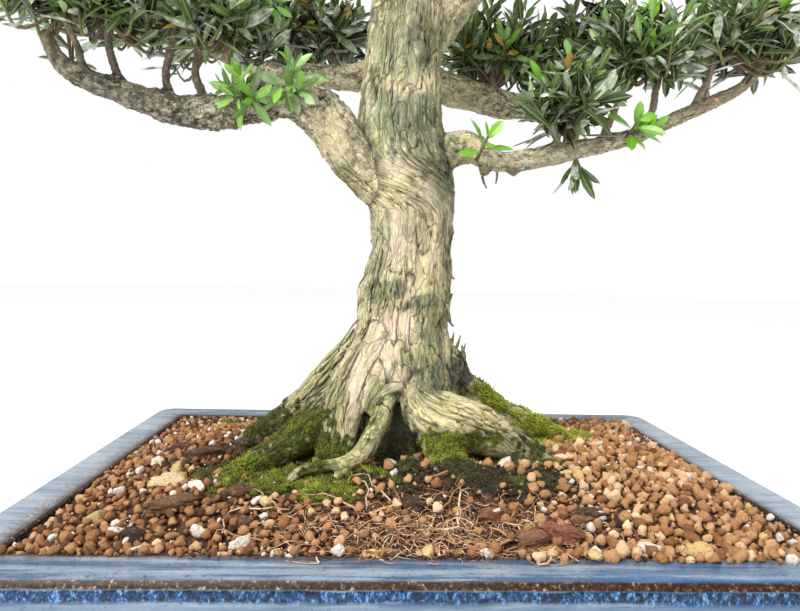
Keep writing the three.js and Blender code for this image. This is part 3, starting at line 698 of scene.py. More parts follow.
class PotSettings(bpy.types.PropertyGroup):
    """The pot's glaze."""

    pale: colour_prop("Pale glaze", "Thin glaze on the rim and the wall", srgb(136, 149, 164))
    blue: colour_prop("Blue glaze", "Thick glaze under the rim", srgb(20, 56, 94))
    deep: colour_prop("Deep blue", "Pools and specks in the glaze", srgb(6, 18, 38))
    clay: colour_prop("Bare clay", "Brown where the glaze breaks over an edge", srgb(46, 29, 19))
    corner: length_prop("Corner radius", "Radius of the rim's corners", 14)


# The pot's outside and cavity, as insets from the rim's outline and heights.
POT_OUTSIDE = [
    (40, 12), (36.5, 13.5), (35, 17), (29, 38), (23, 62), (19, 84), (18, 92), (16.5, 95), (12, 97), (5, 98.2),
    (1.2, 100), (0, 103), (0, 108), (0, 112.5), (0.5, 115.3), (1.7, 117.6), (3.2, 119.2), (5.2, 120),
]
POT_INSIDE = [
    (12, 119.5), (24, 119.2), (28, 118.8), (29.7, 117.3), (30, 114), (30, 94), (33, 68), (39, 40), (48, 22),
]
# The corners' signs in x and y, the faces round a corner and their longest side, in millimetres.
CORNERS = ((1, 1), (-1, 1), (-1, -1), (1, -1))
CORNER_STEPS = 8
SIDE_STEP = 10
FOOT_HEIGHT = 12
FOOT_LEG = 62
FOOT_WIDTH = 18
FOOT_INSET = 43
DRAIN_RADIUS = 13
DRAINS = (-110, 110)


def rounded_outline(inset, corner):
    """A rounded rectangle taken in from the rim's outline, as x and y."""
    corner = max(corner - inset / 4, 5)
    found = []
    for quarter, signs in enumerate(CORNERS):
        angles = (quarter + np.arange(CORNER_STEPS + 1) / CORNER_STEPS) * math.pi / 2
        arc = corner * np.column_stack([np.cos(angles), np.sin(angles)])
        found.append(signs * (POT_HALF - inset - corner) + arc)
    return np.vstack(found)


def moved_on(outline):
    """An outline's points moved on by one."""
    return np.roll(outline, -1, axis=0)


def pot_body(corner):
    """The pot's wall and floor as one closed shell, lofted through its profile."""
    widest = rounded_outline(0, corner)
    counts = [max(1, int(length / SIDE_STEP)) for length in np.linalg.norm(moved_on(widest) - widest, axis=1)]
    rings = []
    for inset, height in POT_OUTSIDE + POT_INSIDE:
        outline = rounded_outline(inset, corner)
        ring = []
        for a, b, count in zip(outline, moved_on(outline), counts):
            ring += [a + (b - a) * t for t in np.arange(count) / count]
        rings.append(np.column_stack([ring, np.full(len(ring), height)]))
    return mesh_object("pot_body", *capped(rings))


def pot_foot(sx, sy):
    """One corner foot: a square whose two inner edges are drawn out into legs, then raised."""
    corner = metres([sx * (POT_HALF[0] - FOOT_INSET), sy * (POT_HALF[1] - FOOT_INSET), 0])
    half = FOOT_WIDTH * MM / 2
    middle = (corner[0] - sx * half, corner[1] - sy * half, 0)
    bpy.ops.mesh.primitive_plane_add(size=2 * half, location=middle)
    foot = bpy.context.object
    bpy.ops.object.transform_apply(location=True)
    leg = (FOOT_LEG - FOOT_WIDTH) * MM
    for axis, sign in ((0, sx), (1, sy)):
        inner = corner[axis] - sign * 2 * half
        bpy.ops.object.mode_set(mode="OBJECT")
        for part in (foot.data.polygons, foot.data.edges, foot.data.vertices):
            part.foreach_set("select", np.zeros(len(part), bool))
        for vertex in foot.data.vertices:
            other = abs(vertex.co[1 - axis] - corner[1 - axis]) < 2.1 * half
            vertex.select = abs(vertex.co[axis] - inner) < 1e-5 and other
        for edge in foot.data.edges:
            edge.select = all(foot.data.vertices[v].select for v in edge.vertices)
        bpy.ops.object.mode_set(mode="EDIT")
        way = [0, 0, 0]
        way[axis] = -sign * leg
        bpy.ops.mesh.extrude_region_move(TRANSFORM_OT_translate={"value": way})
        bpy.ops.transform.resize(value=(0.8, 1, 1) if axis else (1, 0.8, 1))
    bpy.ops.mesh.select_all(action="SELECT")
    bpy.ops.mesh.extrude_region_move(TRANSFORM_OT_translate={"value": (0, 0, (FOOT_HEIGHT + 2) * MM)})
    bpy.ops.mesh.select_all(action="SELECT")
    bpy.ops.mesh.normals_make_consistent(inside=False)
    bpy.ops.object.mode_set(mode="OBJECT")
    apply_modifier(foot, "BEVEL", width=1.6 * MM, segments=3)
    return foot


def rim_dust(look, x, y, front, blotch, speck):
    """Dust along the rim's inner edge and spilt over its front, and how far a place is on its ends."""
    inner = (POT_HALF - RIM_WIDTH) * MM
    past = [look.minus(look.maths("ABSOLUTE", way), limit) for way, limit in zip((x, y), inner)]
    edge = look.ramp(look.scaled(look.maths("MAXIMUM", *past), 100), [(0.1, 1.0), (0.9, 0.0)])
    wavy = look.plus(look.maths("ABSOLUTE", x), look.about(blotch, 0.1))
    middle = look.ramp(wavy, [(0.03, 1.0), (0.1, 0.0)])
    spilt = look.times(middle, look.ramp(look.scaled(past[1], 100), [(0.4, 1.0), (2.2, 0.0)]))
    dust = look.maths("MAXIMUM", edge, look.times(spilt, front))
    sideways = look.ramp(look.scaled(look.minus(*past), 100), [(0.0, 0.0), (0.6, 0.5)])
    return look.times(dust, look.ramp(speck, [(0.46, 0.0), (0.56, 0.8)])), sideways


def at_height(look, height, stops):
    """A mask that follows the height on the pot, through stops in millimetres."""
    most = 130
    return look.ramp(look.maths("DIVIDE", height, most), [(level / most, grey) for level, grey in stops])


def glaze_material(settings):
    """Speckled blue glaze, pale on flat faces and broken to brown clay along the rim's edge."""
    look = Look("glaze")
    place = look.place()
    x, y, z = look.node("SeparateXYZ", {"Vector": place}).outputs
    height = look.maths("DIVIDE", z, MM)
    blotch = look.noise(place, 22, 5, 0.6)
    streak = look.noise(look.stretched(place, (520, 520, 300)), 1, 4, 0.75)
    drawn = look.noise(look.stretched(place, (12, 150, 150)), 1, 5, 0.65)
    speck = look.noise(place, 420, 3, 0.7)
    front = look.ramp(look.times(y, -1), [(0.150, 0.0), (0.158, 1.0)])
    right = look.ramp(look.plus(x, blotch), [(0.45, 0.0), (0.62, 1.0)])
    pooled = look.times(front, look.times(right, look.ramp(drawn, [(0.4, 0.25), (0.55, 0.85)])))
    dust, sideways = rim_dust(look, x, y, front, blotch, speck)

    pale = look.mixed(look.ramp(blotch, [(0.35, 0.0), (0.75, 0.65)]), settings.pale, srgb(92, 114, 140))
    pale = look.mixed(look.ramp(speck, [(0.58, 0.0), (0.66, 0.7)]), pale, srgb(40, 62, 92))
    pale = look.mixed(look.ramp(speck, [(0.26, 0.8), (0.36, 0.0)]), pale, srgb(172, 182, 192))
    pale = look.mixed(look.ramp(drawn, [(0.49, 0.0), (0.58, 0.8)]), pale, srgb(52, 80, 108))
    pale = look.mixed(look.ramp(drawn, [(0.34, 0.45), (0.46, 0.0)]), pale, srgb(178, 190, 202))
    pale = look.mixed(pooled, pale, srgb(50, 88, 128))
    ends = look.ramp(blotch, [(0.4, srgb(150, 164, 176)), (0.6, srgb(192, 200, 206))])
    pale = look.mixed(sideways, pale, ends)
    pale = look.mixed(dust, pale, srgb(118, 92, 70))
    pale = look.mixed(at_height(look, height, [(107, 0.6), (109, 0.0)]), pale, srgb(96, 116, 136))

    vivid = look.ramp(streak, [
        (0.42, settings.deep), (0.5, settings.blue), (0.56, srgb(34, 78, 124)), (0.63, srgb(108, 146, 184))])
    wobble = look.about(look.noise(place, 60, 4), 3.2)
    level = look.plus(height, wobble)
    band = at_height(look, level, [(108.5, 0.0), (110.3, 1.0), (115.0, 1.0), (115.6, 0.0)])
    edge = look.plus(height, look.times(wobble, 0.22))
    bare = at_height(look, edge, [(115.0, 0.0), (115.6, 1.0), (118.6, 1.0), (119.3, 0.0)])
    # Painted highlights: the palest stop of the bare clay puts pale glinting specks on the broken edge.
    clay = look.ramp(look.noise(place, 420, 5, 0.7), [
        (0.36, srgb(24, 9, 1)), (0.5, settings.clay), (0.58, srgb(84, 54, 32)), (0.7, srgb(190, 172, 154))])
    colour = look.mixed(bare, look.mixed(band, pale, vivid), clay)
    rough = look.mixed(bare, look.ramp(speck, [(0.3, 0.18), (0.7, 0.36)]), (0.5, 0.5, 0.5, 1))
    look.shader["Specular IOR Level"].default_value = 0.28
    look.shader["Coat Weight"].default_value = 0.05
    look.shader["Coat Roughness"].default_value = 0.12
    return look.finished(colour, rough, look.relief(place, 90, 0.0006)[0])


def plastic_material():
    """Dark plastic for the drainage screens."""
    look = Look("screen_plastic")
    normal, mask = look.relief(look.place(), 900, 0.0002)
    colour = look.ramp(mask, [(0.3, srgb(22, 23, 25)), (0.7, srgb(40, 41, 43))])
    return look.finished(colour, 0.6, normal)


class BONSAI_OT_pot(bpy.types.Operator):
    """Models the glazed pot with its feet and drainage holes"""

    bl_idname = "bonsai.pot"
    bl_label = "Pot"

    def execute(self, context):
        settings = context.scene.bonsai_pot
        body = pot_body(settings.corner / MM)
        for x in DRAINS:
            place = metres([x, 0, 16])
            bpy.ops.mesh.primitive_cylinder_add(
                vertices=32, radius=DRAIN_RADIUS * MM, depth=40 * MM, location=place)
            drill = bpy.context.object
            apply_modifier(body, "BOOLEAN", operation="DIFFERENCE", solver="EXACT", object=drill)
            bpy.data.objects.remove(drill)
        feet = [pot_foot(sx, sy) for sx, sy in CORNERS]
        pot = join([body, *feet], "glazed_pot")
        bpy.ops.object.shade_smooth_by_angle(angle=math.radians(40))
        settle(pot, glaze_material(settings), ["pot"])
        plastic = plastic_material()
        for name in ("drainage_screen_left", "drainage_screen_right"):
            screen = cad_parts[name]
            screen.data.materials.clear()
            screen.data.materials.append(plastic)
        return {"FINISHED"}


# The soil

class SoilSettings(bpy.types.PropertyGroup):
    """The soil's grains and their colours."""

    clay: colour_prop("Baked clay", "Main colour of the clay grains", srgb(186, 138, 92))
    dark_clay: colour_prop("Damp clay", "Colour of the darker grains", srgb(134, 88, 50))
    pumice: colour_prop("Pumice", "Colour of the white grains", srgb(232, 224, 212))
    # The humus colour is partly the humus's own and partly painted shade in the gaps between the grains.
    humus: colour_prop("Humus", "Dark matter between the grains", srgb(46, 26, 12))
    moss: colour_prop("Moss", "Main colour of the moss", srgb(112, 132, 34))
    large: length_prop("Large grain", "Radius of the largest grains", 4.7)
    small: length_prop("Small grain", "Radius of the smallest grains", 1.5)


# Moss patches: middle x and y, half sizes, strength, and how bright it is from 0, dark algae, to 1.
MOSS = [
    (-92, -72, 52, 26, 1.2, 0.62), (-128, -54, 26, 22, 0.9, 0.42), (-58, -92, 26, 16, 1.1, 0.72),
    (-112, -8, 34, 26, 1.0, 0.4), (-74, -20, 26, 34, 1.0, 0.45), (-104, 34, 40, 34, 0.9, 0.36),
    (118, 44, 36, 22, 1.2, 1.0), (92, 14, 30, 24, 1.1, 0.95), (132, 66, 34, 20, 1.0, 0.9),
    (66, -52, 34, 14, 0.9, 0.5), (4, -66, 40, 22, 0.7, 0.3), (-22, -88, 28, 14, 0.6, 0.36),
    (40, -84, 36, 20, 0.62, 0.22), (92, -46, 24, 20, 0.8, 0.34), (84, -76, 20, 14, 0.8, 0.3),
    (-30, -74, 14, 12, 1.0, 0.62), (28, -70, 12, 10, 0.9, 0.6), (62, -84, 12, 9, 0.8, 0.5),
    (30, 88, 46, 30, 0.8, 0.6), (-40, 92, 50, 26, 0.8, 0.55), (-168, 128, 26, 10, 0.8, 0.5),
    (168, 132, 44, 14, 0.9, 0.25), (120, 78, 30, 20, 0.6, 0.6),
]


# Small humps of algae and humus on the mound: middle, radius and height.
HUMPS = [
    (-2, -66, 13, 7), (24, -84, 15, 8), (50, -78, 12, 8), (-18, -90, 11, 5), (88, -58, 14, 6),
    (66, -64, 10, 5), (6, -98, 11, 5), (36, -66, 9, 5), (-34, -78, 10, 5), (70, -92, 10, 5),
    (22, -108, 9, 4), (-64, -92, 12, 3), (-96, -84, 14, 3), (-120, -66, 12, 3), (-38, -84, 10, 3),
    (40, -104, 12, 3),
]


def mound_height(x, y):
    """The soil's height at a place."""
    power = 2.4
    out = (np.abs(x / SOIL_RUN[0]) ** power + np.abs(y / SOIL_RUN[1]) ** power) ** (1 / power)
    heap = 7 * np.exp(-((x - 165) / 60) ** 2 - ((y - 118) / 42) ** 2)
    for middle_x, middle_y, reach, height in HUMPS:
        heap = heap + height * np.exp(-((x - middle_x) ** 2 + (y - middle_y) ** 2) / reach ** 2)
    return SOIL_EDGE + SOIL_RISE * (1 - np.minimum(out, 1) ** 2) + heap


def mossiness(x, y):
    """How mossy a place is, and how bright the moss there is."""
    flat = np.column_stack([x, y, np.zeros_like(x)])
    ragged = 0.55 * layered(flat / 14, 31)
    strength, bright = np.zeros_like(x), np.full_like(x, 0.5)
    for cx, cy, rx, ry, most, tone in MOSS:
        here = most * 1.5 * (1 - ((x - cx) / rx) ** 2 - ((y - cy) / ry) ** 2) + ragged
        bright = np.where(here > strength, tone, bright)
        strength = np.maximum(strength, here)
    return np.clip(strength, 0, 1), bright


def soil_bed():
    """The soil's ground: a fine sheet over the mound, with its skirt let down inside the pot."""
    span = 2 * (POT_HALF - RIM_WIDTH) - 1
    step = 3.4
    columns, rows = (span / step).astype(int)
    bpy.ops.object.select_all(action="DESELECT")
    bpy.ops.mesh.primitive_grid_add(x_subdivisions=columns, y_subdivisions=rows, size=1)
    bed = bpy.context.object
    bpy.ops.object.mode_set(mode="EDIT")
    bpy.ops.transform.resize(value=(span[0] * MM, span[1] * MM, 1))
    bpy.ops.mesh.select_all(action="SELECT")
    bpy.ops.mesh.extrude_region_move(TRANSFORM_OT_translate={"value": (0, 0, 0.1)})
    bpy.ops.object.mode_set(mode="OBJECT")
    flat = np.array([vertex.co for vertex in bed.data.vertices])
    upper = flat[:, 2] > 0.05
    points = flat / MM
    corner = np.abs(points[:, :2]) - (span / 2 - 8)
    over = np.maximum(corner, 0)
    far = np.linalg.norm(over, axis=1)
    pull = np.where((corner > 0).all(1) & (far > 8), 8 / np.maximum(far, 1e-6), 1.0)
    points[:, :2] -= np.sign(points[:, :2]) * over * (1 - pull)[:, None]
    x, y = points[:, 0], points[:, 1]
    grit = np.column_stack([x, y, np.zeros_like(x)])
    strength, bright = mossiness(x, y)
    height = mound_height(x, y) - 1.6 + 1.3 * layered(grit / 7, 5, 4)
    height += strength * (1.2 + 2.6 * layered(grit / 9, 6, 4))
    points[:, 2] = np.where(upper, height, 60)
    move_points(bed, points)
    bed.name = bed.data.name = "soil_bed"
    add_attributes(bed.data, {"moss": strength, "bright": bright})
    bed.data.polygons.foreach_set("use_smooth", np.full(len(bed.data.polygons), True))
    return bed


def moss_colour(look, bright, place):
    """Moss from near-black algae to yellow-green, mottled."""
    mottle = look.noise(place, 520, 5, 0.75)
    tone = look.plus(bright, look.times(look.minus(mottle, 0.55), 1.7))
    return look.ramp(tone, [
        (0.0, srgb(38, 34, 22)), (0.25, srgb(70, 70, 26)), (0.6, srgb(96, 108, 10)),
        (0.85, srgb(140, 150, 20)), (1.0, srgb(188, 192, 66))])


def bed_material(settings):
    """Dark humus and dust between the grains, kept dark also as painted shade in the gaps between them, green
    where moss covers it.
    """
    look = Look("humus")
    place = look.place()
    normal, mask = look.relief(place, 260, 0.0012)
    crumbs = look.noise(place, 700, 4, 0.7)
    earth = look.ramp(mask, [(0.35, settings.humus), (0.55, srgb(80, 48, 28)), (0.7, srgb(130, 86, 54))])
    earth = look.mixed(look.ramp(crumbs, [(0.56, 0.0), (0.66, 0.6)]), earth, srgb(176, 132, 92))
    moss = moss_colour(look, look.minus(look.attribute("bright"), 0.2), place)
    share = look.ramp(look.attribute("moss"), [(0.25, 0.0), (0.55, 0.92)])
    return look.finished(look.mixed(share, earth, moss), 0.92, normal)


def grain_shapes(random, seed, rough, level=1):
    """A few rounded lumps, each an icosphere pushed in and out."""
    shapes = []
    for k in range(5):
        bpy.ops.mesh.primitive_ico_sphere_add(subdivisions=level, radius=1)
        points, faces = template(bpy.context.object)
        push = 1 + rough * noise(points * 1.1 + 10 * k, seed)
        push = push + 0.4 * rough * noise(points * 2.6 + 5 * k, seed + 1)
        points = points * push[:, None]
        for facet in unit(random.normal(size=(9, 3))):
            over = np.maximum(points @ facet - random.uniform(0.5, 0.84), 0)
            points = points - 0.88 * over[:, None] * facet
        shapes.append((points * random.uniform(0.74, 1.2, 3), faces))
    return shapes


def scattered(random, radii, spot_ok, spacing=0.8):
    """Places for round grains of given radii, thrown largest first so that none lies in another."""
    span = POT_HALF - RIM_WIDTH + 8
    cell = 2 * radii.max()
    grid, found = {}, []
    for radius in radii:
        for _ in range(12):
            x, y = random.uniform(-span, span)
            if not spot_ok(x, y, radius):
                continue
            key = (int(x // cell), int(y // cell))
            near = [g for i in (-1, 0, 1) for j in (-1, 0, 1) for g in grid.get((key[0] + i, key[1] + j), ())]
            if all((x - a) ** 2 + (y - b) ** 2 > (spacing * (radius + r)) ** 2 for a, b, r in near):
                grid.setdefault(key, []).append((x, y, radius))
                found.append((x, y, radius))
                break
    return np.array(found)


# Single stones and chips: x, y, radii, tone from 0, clay, over 0.5, yellow stone, to 1, white pumice.
STONES = [
    (-163, -66, 9.5, 6, 5, 0.82), (-160, -50, 6, 5, 6, 0.62), (-183, -20, 6, 5, 4, 0.98),
    (-190, -70, 5, 4, 4, 1.0), (-150, -84, 5, 4, 3, 1.0), (-141, -76, 6, 4, 3.4, 0.98),
    (57, -66, 7, 5, 5, 1.0), (84, -28, 5, 4, 4, 0.97), (40, -118, 5, 4, 4, 0.95),
    (-126, -126, 6, 4, 4, 1.0), (-100, -140, 5, 4, 3.6, 1.0), (-70, -150, 6, 4, 4, 0.96),
    (-46, -153, 5, 4, 4, 1.0), (-150, -148, 5, 4, 4, 1.0), (-172, -122, 5, 4, 3, 1.0),
    (-30, -150, 5, 4, 3, 0.7), (0, -152, 5, 4, 3, 0.72), (30, -150, 5, 4, 4, 0.98),
    (66, -146, 5, 4, 3, 0.74), (120, -140, 7, 4.6, 4, 1.0), (140, -152, 6, 5, 5, 0.66),
    (-190, -104, 8, 5, 4, 0.6), (-92, -104, 6, 4, 4, 0.76), (150, 20, 5, 4, 4, 1.0),
]
# Bark chips: x, y, length, width, thickness, angle, and tone from 0, near-black, to 1, red-brown.
CHIPS = [
    (-150, -20, 28, 14, 8, 20, 0.2), (-126, -10, 16, 12, 9, -30, 0.1), (-146, -97, 28, 13, 8, 28, 0.4),
    (-160, -128, 12, 10, 6, 0, 0.02), (-112, -92, 15, 11, 7, -10, 0.3), (-176, 10, 18, 10, 6, 40, 0.2),
    (74, -130, 24, 10, 7, -34, 0.72), (58, -138, 18, 11, 8, 30, 0.55), (40, -118, 18, 8, 6, 20, 0.66),
    (-100, -122, 9, 7, 6, 60, 0.3), (96, -112, 20, 10, 6, 10, 0.12), (-6, -108, 14, 8, 5, -40, 0.1),
    (92, -118, 16, 8, 5, 15, 0.5),
    (-96, 132, 22, 10, 8, 0, 0.05), (128, 96, 20, 12, 6, 60, 0.2), (10, 128, 18, 10, 5, 30, 0.3),
]


PALE_CRUMBS = 900
# Dark crumbs: how many lie all over, then the middle, spread and count of each lot in front, left and behind.
DARK_CRUMBS = 500
DARK_LOTS = [((14, -108), (62, 28), 1200), ((-140, -14), (26, 20), 350), ((128, 104), (24, 16), 150)]


def on_soil(x, y, rise=0.0):
    """Points on the mound, or on the rim beyond it, raised a little."""
    inside = (np.abs(x) < POT_HALF[0] - RIM_WIDTH) & (np.abs(y) < POT_HALF[1] - RIM_WIDTH)
    ground = np.where(inside, mound_height(x, y), RIM_TOP)
    return np.column_stack([x, y, ground + rise])


def openness(x, y):
    """How many grains a place has: few among the fine roots in front and on the mossy ground."""
    fibres = np.exp(-((x - 6) / 62) ** 2 - ((y + 128) / 30) ** 2)
    humps = np.exp(-((x - 12) / 56) ** 2 - ((y + 84) / 28) ** 2)
    return 1 - np.clip(0.7 * fibres + 0.42 * humps, 0, 0.92)


def damp(x, y):
    """How dark and damp a place is: most by the chips on the left and behind the tree on the right."""
    left = np.exp(-((x + 140) / 34) ** 2 - ((y + 14) / 28) ** 2)
    right = np.exp(-((x - 128) / 40) ** 2 - ((y - 104) / 26) ** 2)
    front = np.exp(-((x - 62) / 30) ** 2 - ((y + 128) / 18) ** 2)
    return np.clip(left + 0.8 * right + 0.7 * front, 0, 1)


def placements(turns, scales, points):
    """Rotations, a size for each axis and a place for each copy, as 3 by 4 matrices."""
    return np.concatenate([turns * scales[:, None, :], points[:, :, None]], axis=2)


def clay_material(settings):
    """Dusty baked clay, from dark damp brown to pale ochre by each grain's tone."""
    look = Look("baked_clay")
    place = look.place()
    normal, mask = look.relief(place, 520, 0.0009)
    tone = look.plus(look.attribute("tone"), look.about(mask, 0.7))
    colour = look.ramp(tone, [
        (0.0, srgb(70, 42, 22)), (0.3, settings.dark_clay), (0.66, settings.clay),
        (1.0, srgb(240, 208, 168))])
    return look.finished(colour, 0.9, normal)


def pumice_material(settings):
    """White pumice and yellow stones by each grain's tone, pitted and stained."""
    look = Look("pumice")
    place = look.place()
    normal, mask = look.relief(place, 620, 0.0012)
    stone = look.ramp(look.attribute("tone"), [
        (0.55, srgb(176, 158, 118)), (0.7, srgb(222, 188, 118)), (0.85, srgb(228, 206, 168)),
        (0.97, settings.pumice)])
    stain = look.ramp(mask, [(0.3, 0.75), (0.5, 0.0)])
    colour = look.mixed(stain, stone, srgb(128, 96, 66))
    return look.finished(colour, 0.85, normal)


def humus_material():
    """Crumbs of rotted bark, near-black to brown."""
    look = Look("humus_crumbs")
    place = look.place()
    normal, mask = look.relief(place, 700, 0.0006)
    tone = look.plus(look.attribute("tone"), look.about(mask, 0.5))
    colour = look.ramp(tone, [(0.0, srgb(34, 24, 18)), (0.25, srgb(72, 48, 32)), (0.6, srgb(122, 86, 56))])
    return look.finished(colour, 0.9, normal)


def chip_material():
    """Old bark chips, from near-black to red-brown, fibrous along their length."""
    look = Look("bark_chips")
    grain = look.attribute("grain", "Vector")
    fibre = look.noise(look.stretched(grain, (0.16, 1.0, 1.0)), 1, 6, 0.75)
    base = look.ramp(look.attribute("tone"), [
        (0.0, srgb(54, 40, 32)), (0.3, srgb(110, 74, 50)), (0.5, srgb(150, 108, 74)),
        (0.8, srgb(150, 84, 64))])
    flecks = look.noise(look.place(), 480, 5, 0.75)
    colour = look.mixed(look.ramp(fibre, [(0.4, 0.85), (0.54, 0.0)]), base, srgb(34, 24, 18))
    colour = look.mixed(look.ramp(flecks, [(0.56, 0.0), (0.66, 0.7)]), colour, srgb(196, 150, 108))
    return look.finished(colour, 0.85, look.bump(fibre, 0.0012))


def grain_lot(random, shapes, places, tones, squash=0.85):
    """Grains stamped at places of x, y and radius, as points, faces and tones."""
    parts = []
    order = random.integers(0, len(shapes), len(places))
    turns = any_turns(random, len(places))
    seat = on_soil(places[:, 0], places[:, 1], places[:, 2] * random.uniform(0.15, 0.75, len(places)))
    scales = places[:, 2][:, None] * random.uniform(squash, 1.12, (len(places), 3))
    matrices = placements(turns, scales, seat)
    for k, shape in enumerate(shapes):
        rows = order == k
        if rows.any():
            points, faces = stamped(shape, matrices[rows])
            parts.append((points, faces, {"tone": repeated(tones[rows], len(shape[0]))}))
    return gathered(parts)


class BONSAI_OT_soil(bpy.types.Operator):
    """Models the soil bed, its clay and pumice grains, single stones and bark chips"""

    bl_idname = "bonsai.soil"
    bl_label = "Soil"

    def execute(self, context):
        settings = context.scene.bonsai_soil
        random = np.random.default_rng(4)
        settle(soil_bed(), bed_material(settings), ["soil"])
        large = settings.large / MM
        places = self.grain_places(random, settings.small / MM, large)
        x, y, radii = places.T
        white_share = np.where(x < 20, 0.13, 0.045) * openness(x, y) ** 2
        white = random.random(len(places)) < white_share
        tones = random.normal(0.6, 0.17, len(places)) - 0.16 * (x < -60)
        tones = np.clip(tones - 0.34 * damp(x, y), 0.0, 1)
        shades = np.where(random.random(len(places)) < 0.3, 0.72, 1.0)
        coarse, rounded = grain_shapes(random, 11, 0.42), grain_shapes(random, 12, 0.62, 2)
        pitted, pocked = grain_shapes(random, 13, 0.55), grain_shapes(random, 15, 0.6, 2)
        single = grain_shapes(random, 14, 0.5, 3)
        east = x > 20
        close = (y < 30) & (radii > 0.5 * large)
        for name, rows in (("clay_grains_left", ~east), ("clay_grains_right", east)):
            lots = []
            for shapes, chosen in ((rounded, rows & ~white & close), (coarse, rows & ~white & ~close)):
                lots.append(grain_lot(random, shapes, places[chosen], tones[chosen]))
            settle(mesh_object(name, *gathered(lots)), clay_material(settings))
        crumbs = self.crumbs(random, PALE_CRUMBS)
        lots = [
            grain_lot(random, pocked, places[white & close], shades[white & close], 0.7),
            grain_lot(random, pitted, places[white & ~close], shades[white & ~close], 0.7),
            self.stones(random, single),
            grain_lot(random, pitted, crumbs, np.where(random.random(PALE_CRUMBS) < 0.4, 0.75, 1.0), 0.6),
        ]
        settle(mesh_object("pumice_grains", *gathered(lots)), pumice_material(settings))
        dark = self.dark_crumbs(random)
        lot = grain_lot(random, pitted, dark, random.uniform(0, 0.4, len(dark)), 0.6)
        settle(mesh_object("humus_crumbs", *lot), humus_material())
        settle(self.chips(), chip_material())
        return {"FINISHED"}

    def grain_places(self, random, small, large):
        """Places and radii of the grains that lie clear of the rim, the wood and the moss."""
        limit = POT_HALF - RIM_WIDTH

        def spot_ok(x, y, radius):
            edge = 1 if y > -limit[1] + 20 else (-11 if x > 30 else -6)
            return abs(x) < limit[0] - radius - 1 and abs(y) < limit[1] - radius * 0.8 - edge

        radii = np.concatenate([
            random.uniform(0.8 * large, large, 620), random.uniform(0.62 * large, 0.8 * large, 1150),
            random.uniform(0.45 * large, 0.62 * large, 1200), random.uniform(small, 0.45 * large, 2600)])
        places = scattered(random, radii, spot_ok)
        x, y = places[:, 0], places[:, 1]
        places[(x < -30) & (places[:, 2] > 0.72 * large), 2] *= 0.8
        strength, bright = mossiness(x, y)
        cover = strength * np.where(bright < 0.4, 0.6, 0.95)
        kept = random.random(len(places)) < openness(x, y) * (1 - cover)
        return places[kept & (WOOD.clearance(on_soil(x, y, 1.0)) > 0.4 * places[:, 2])]

    def dark_crumbs(self, random):
        """Places for crumbs of humus: all over, then in front, by the chips and behind on the right."""
        dark = self.crumbs(random, DARK_CRUMBS + sum(count for _, _, count in DARK_LOTS))
        start = DARK_CRUMBS
        for middle, spread, count in DARK_LOTS:
            dark[start:start + count, :2] = random.normal(middle, spread, (count, 2))
            start += count
        dark[DARK_CRUMBS:, 2] *= random.uniform(0.8, 2.0, len(dark) - DARK_CRUMBS)
        dark[:, 1] = np.maximum(dark[:, 1], -POT_HALF[1] + 24)
        return dark

    def crumbs(self, random, count):
        """Places for crumbs that lie on the soil: x, y and radius."""
        spots = random.uniform(-1, 1, (count, 2)) * (POT_HALF - RIM_WIDTH - 4)
        spots[:, 0] -= 60 * (random.random(count) < 0.5) * (spots[:, 0] > 20)
        return np.column_stack([spots, random.uniform(0.5, 1.3, count)])

    def stones(self, random, shapes):
        """The larger single stones, each at its own place."""
        rows = np.array(STONES, float)
        turn = random.uniform(-0.6, 0.6, len(rows))
        turns = np.zeros((len(rows), 3, 3))
        turns[:, 0, 0] = turns[:, 1, 1] = np.cos(turn)
        turns[:, 1, 0], turns[:, 0, 1] = np.sin(turn), -np.sin(turn)
        turns[:, 2, 2] = 1
        seat = on_soil(rows[:, 0], rows[:, 1], rows[:, 4] * 0.55)
        matrices = placements(turns, rows[:, 2:5], seat)
        parts = []
        for k, matrix in enumerate(matrices):
            points, faces = stamped(shapes[k % len(shapes)], matrix[None])
            parts.append((points, faces, {"tone": np.full(len(points), rows[k, 5])}))
        return gathered(parts)

    def chips(self):
        """Broken chips of bark: bevelled blocks, roughened along their grain."""
        parts = []
        for k, (x, y, length, width, thick, angle, tone) in enumerate(CHIPS):
            bpy.ops.mesh.primitive_cube_add(size=1)
            block = bpy.context.object
            bpy.ops.object.mode_set(mode="EDIT")
            bpy.ops.mesh.subdivide(number_cuts=5)
            bpy.ops.object.mode_set(mode="OBJECT")
            points, faces = template(block)
            grain = points * (length, width, thick)
            ends = 1 - 0.5 * np.abs(points[:, :1] * 2) ** 3
            rough = noise(grain / (9, 3, 3) + 7 * k, 41) + 0.7 * noise(grain / (4, 2, 2) + 3 * k, 42)
            local = grain * np.column_stack([np.ones(len(points)), ends, ends]) * (1 + 0.35 * rough)[:, None]
            cos, sin = math.cos(math.radians(angle)), math.sin(math.radians(angle))
            spin = np.array([[cos, -sin, 0], [sin, cos, 0], [0, 0, 1]])
            seat = on_soil(np.array([float(x)]), np.array([float(y)]), thick * 0.3)[0]
            parts.append((local @ spin.T + seat, faces, {"tone": np.full(len(points), tone), "grain": grain}))
        return mesh_object("bark_chips", *gathered(parts))


# The tree

class TreeSettings(bpy.types.PropertyGroup):
    """The bark's relief and colours."""

    cream: colour_prop("Cream bark", "Fresh pale plates", srgb(224, 212, 168))
    tan: colour_prop("Tan bark", "Weathered plates", srgb(196, 186, 138))
    green: colour_prop("Green tint", "Algae on the bark", srgb(164, 168, 78))
    crack: colour_prop("Cracks", "Dark gaps between the strips", srgb(44, 38, 26))
    trunk_step: length_prop("Trunk detail", "Size of the trunk's faces", 1.6)
    limb_step: length_prop("Limb detail", "Size of the limbs' faces", 1.75)
    relief: FloatProperty(name="Relief", description="Depth of the bark's relief", default=1.0, min=0, max=2)


# Size of a plate of bark, across and along, on stripped, scaly and twiggy wood.
PLATES = np.array([(7.6, 24), (5, 10), (2.2, 3.4)])
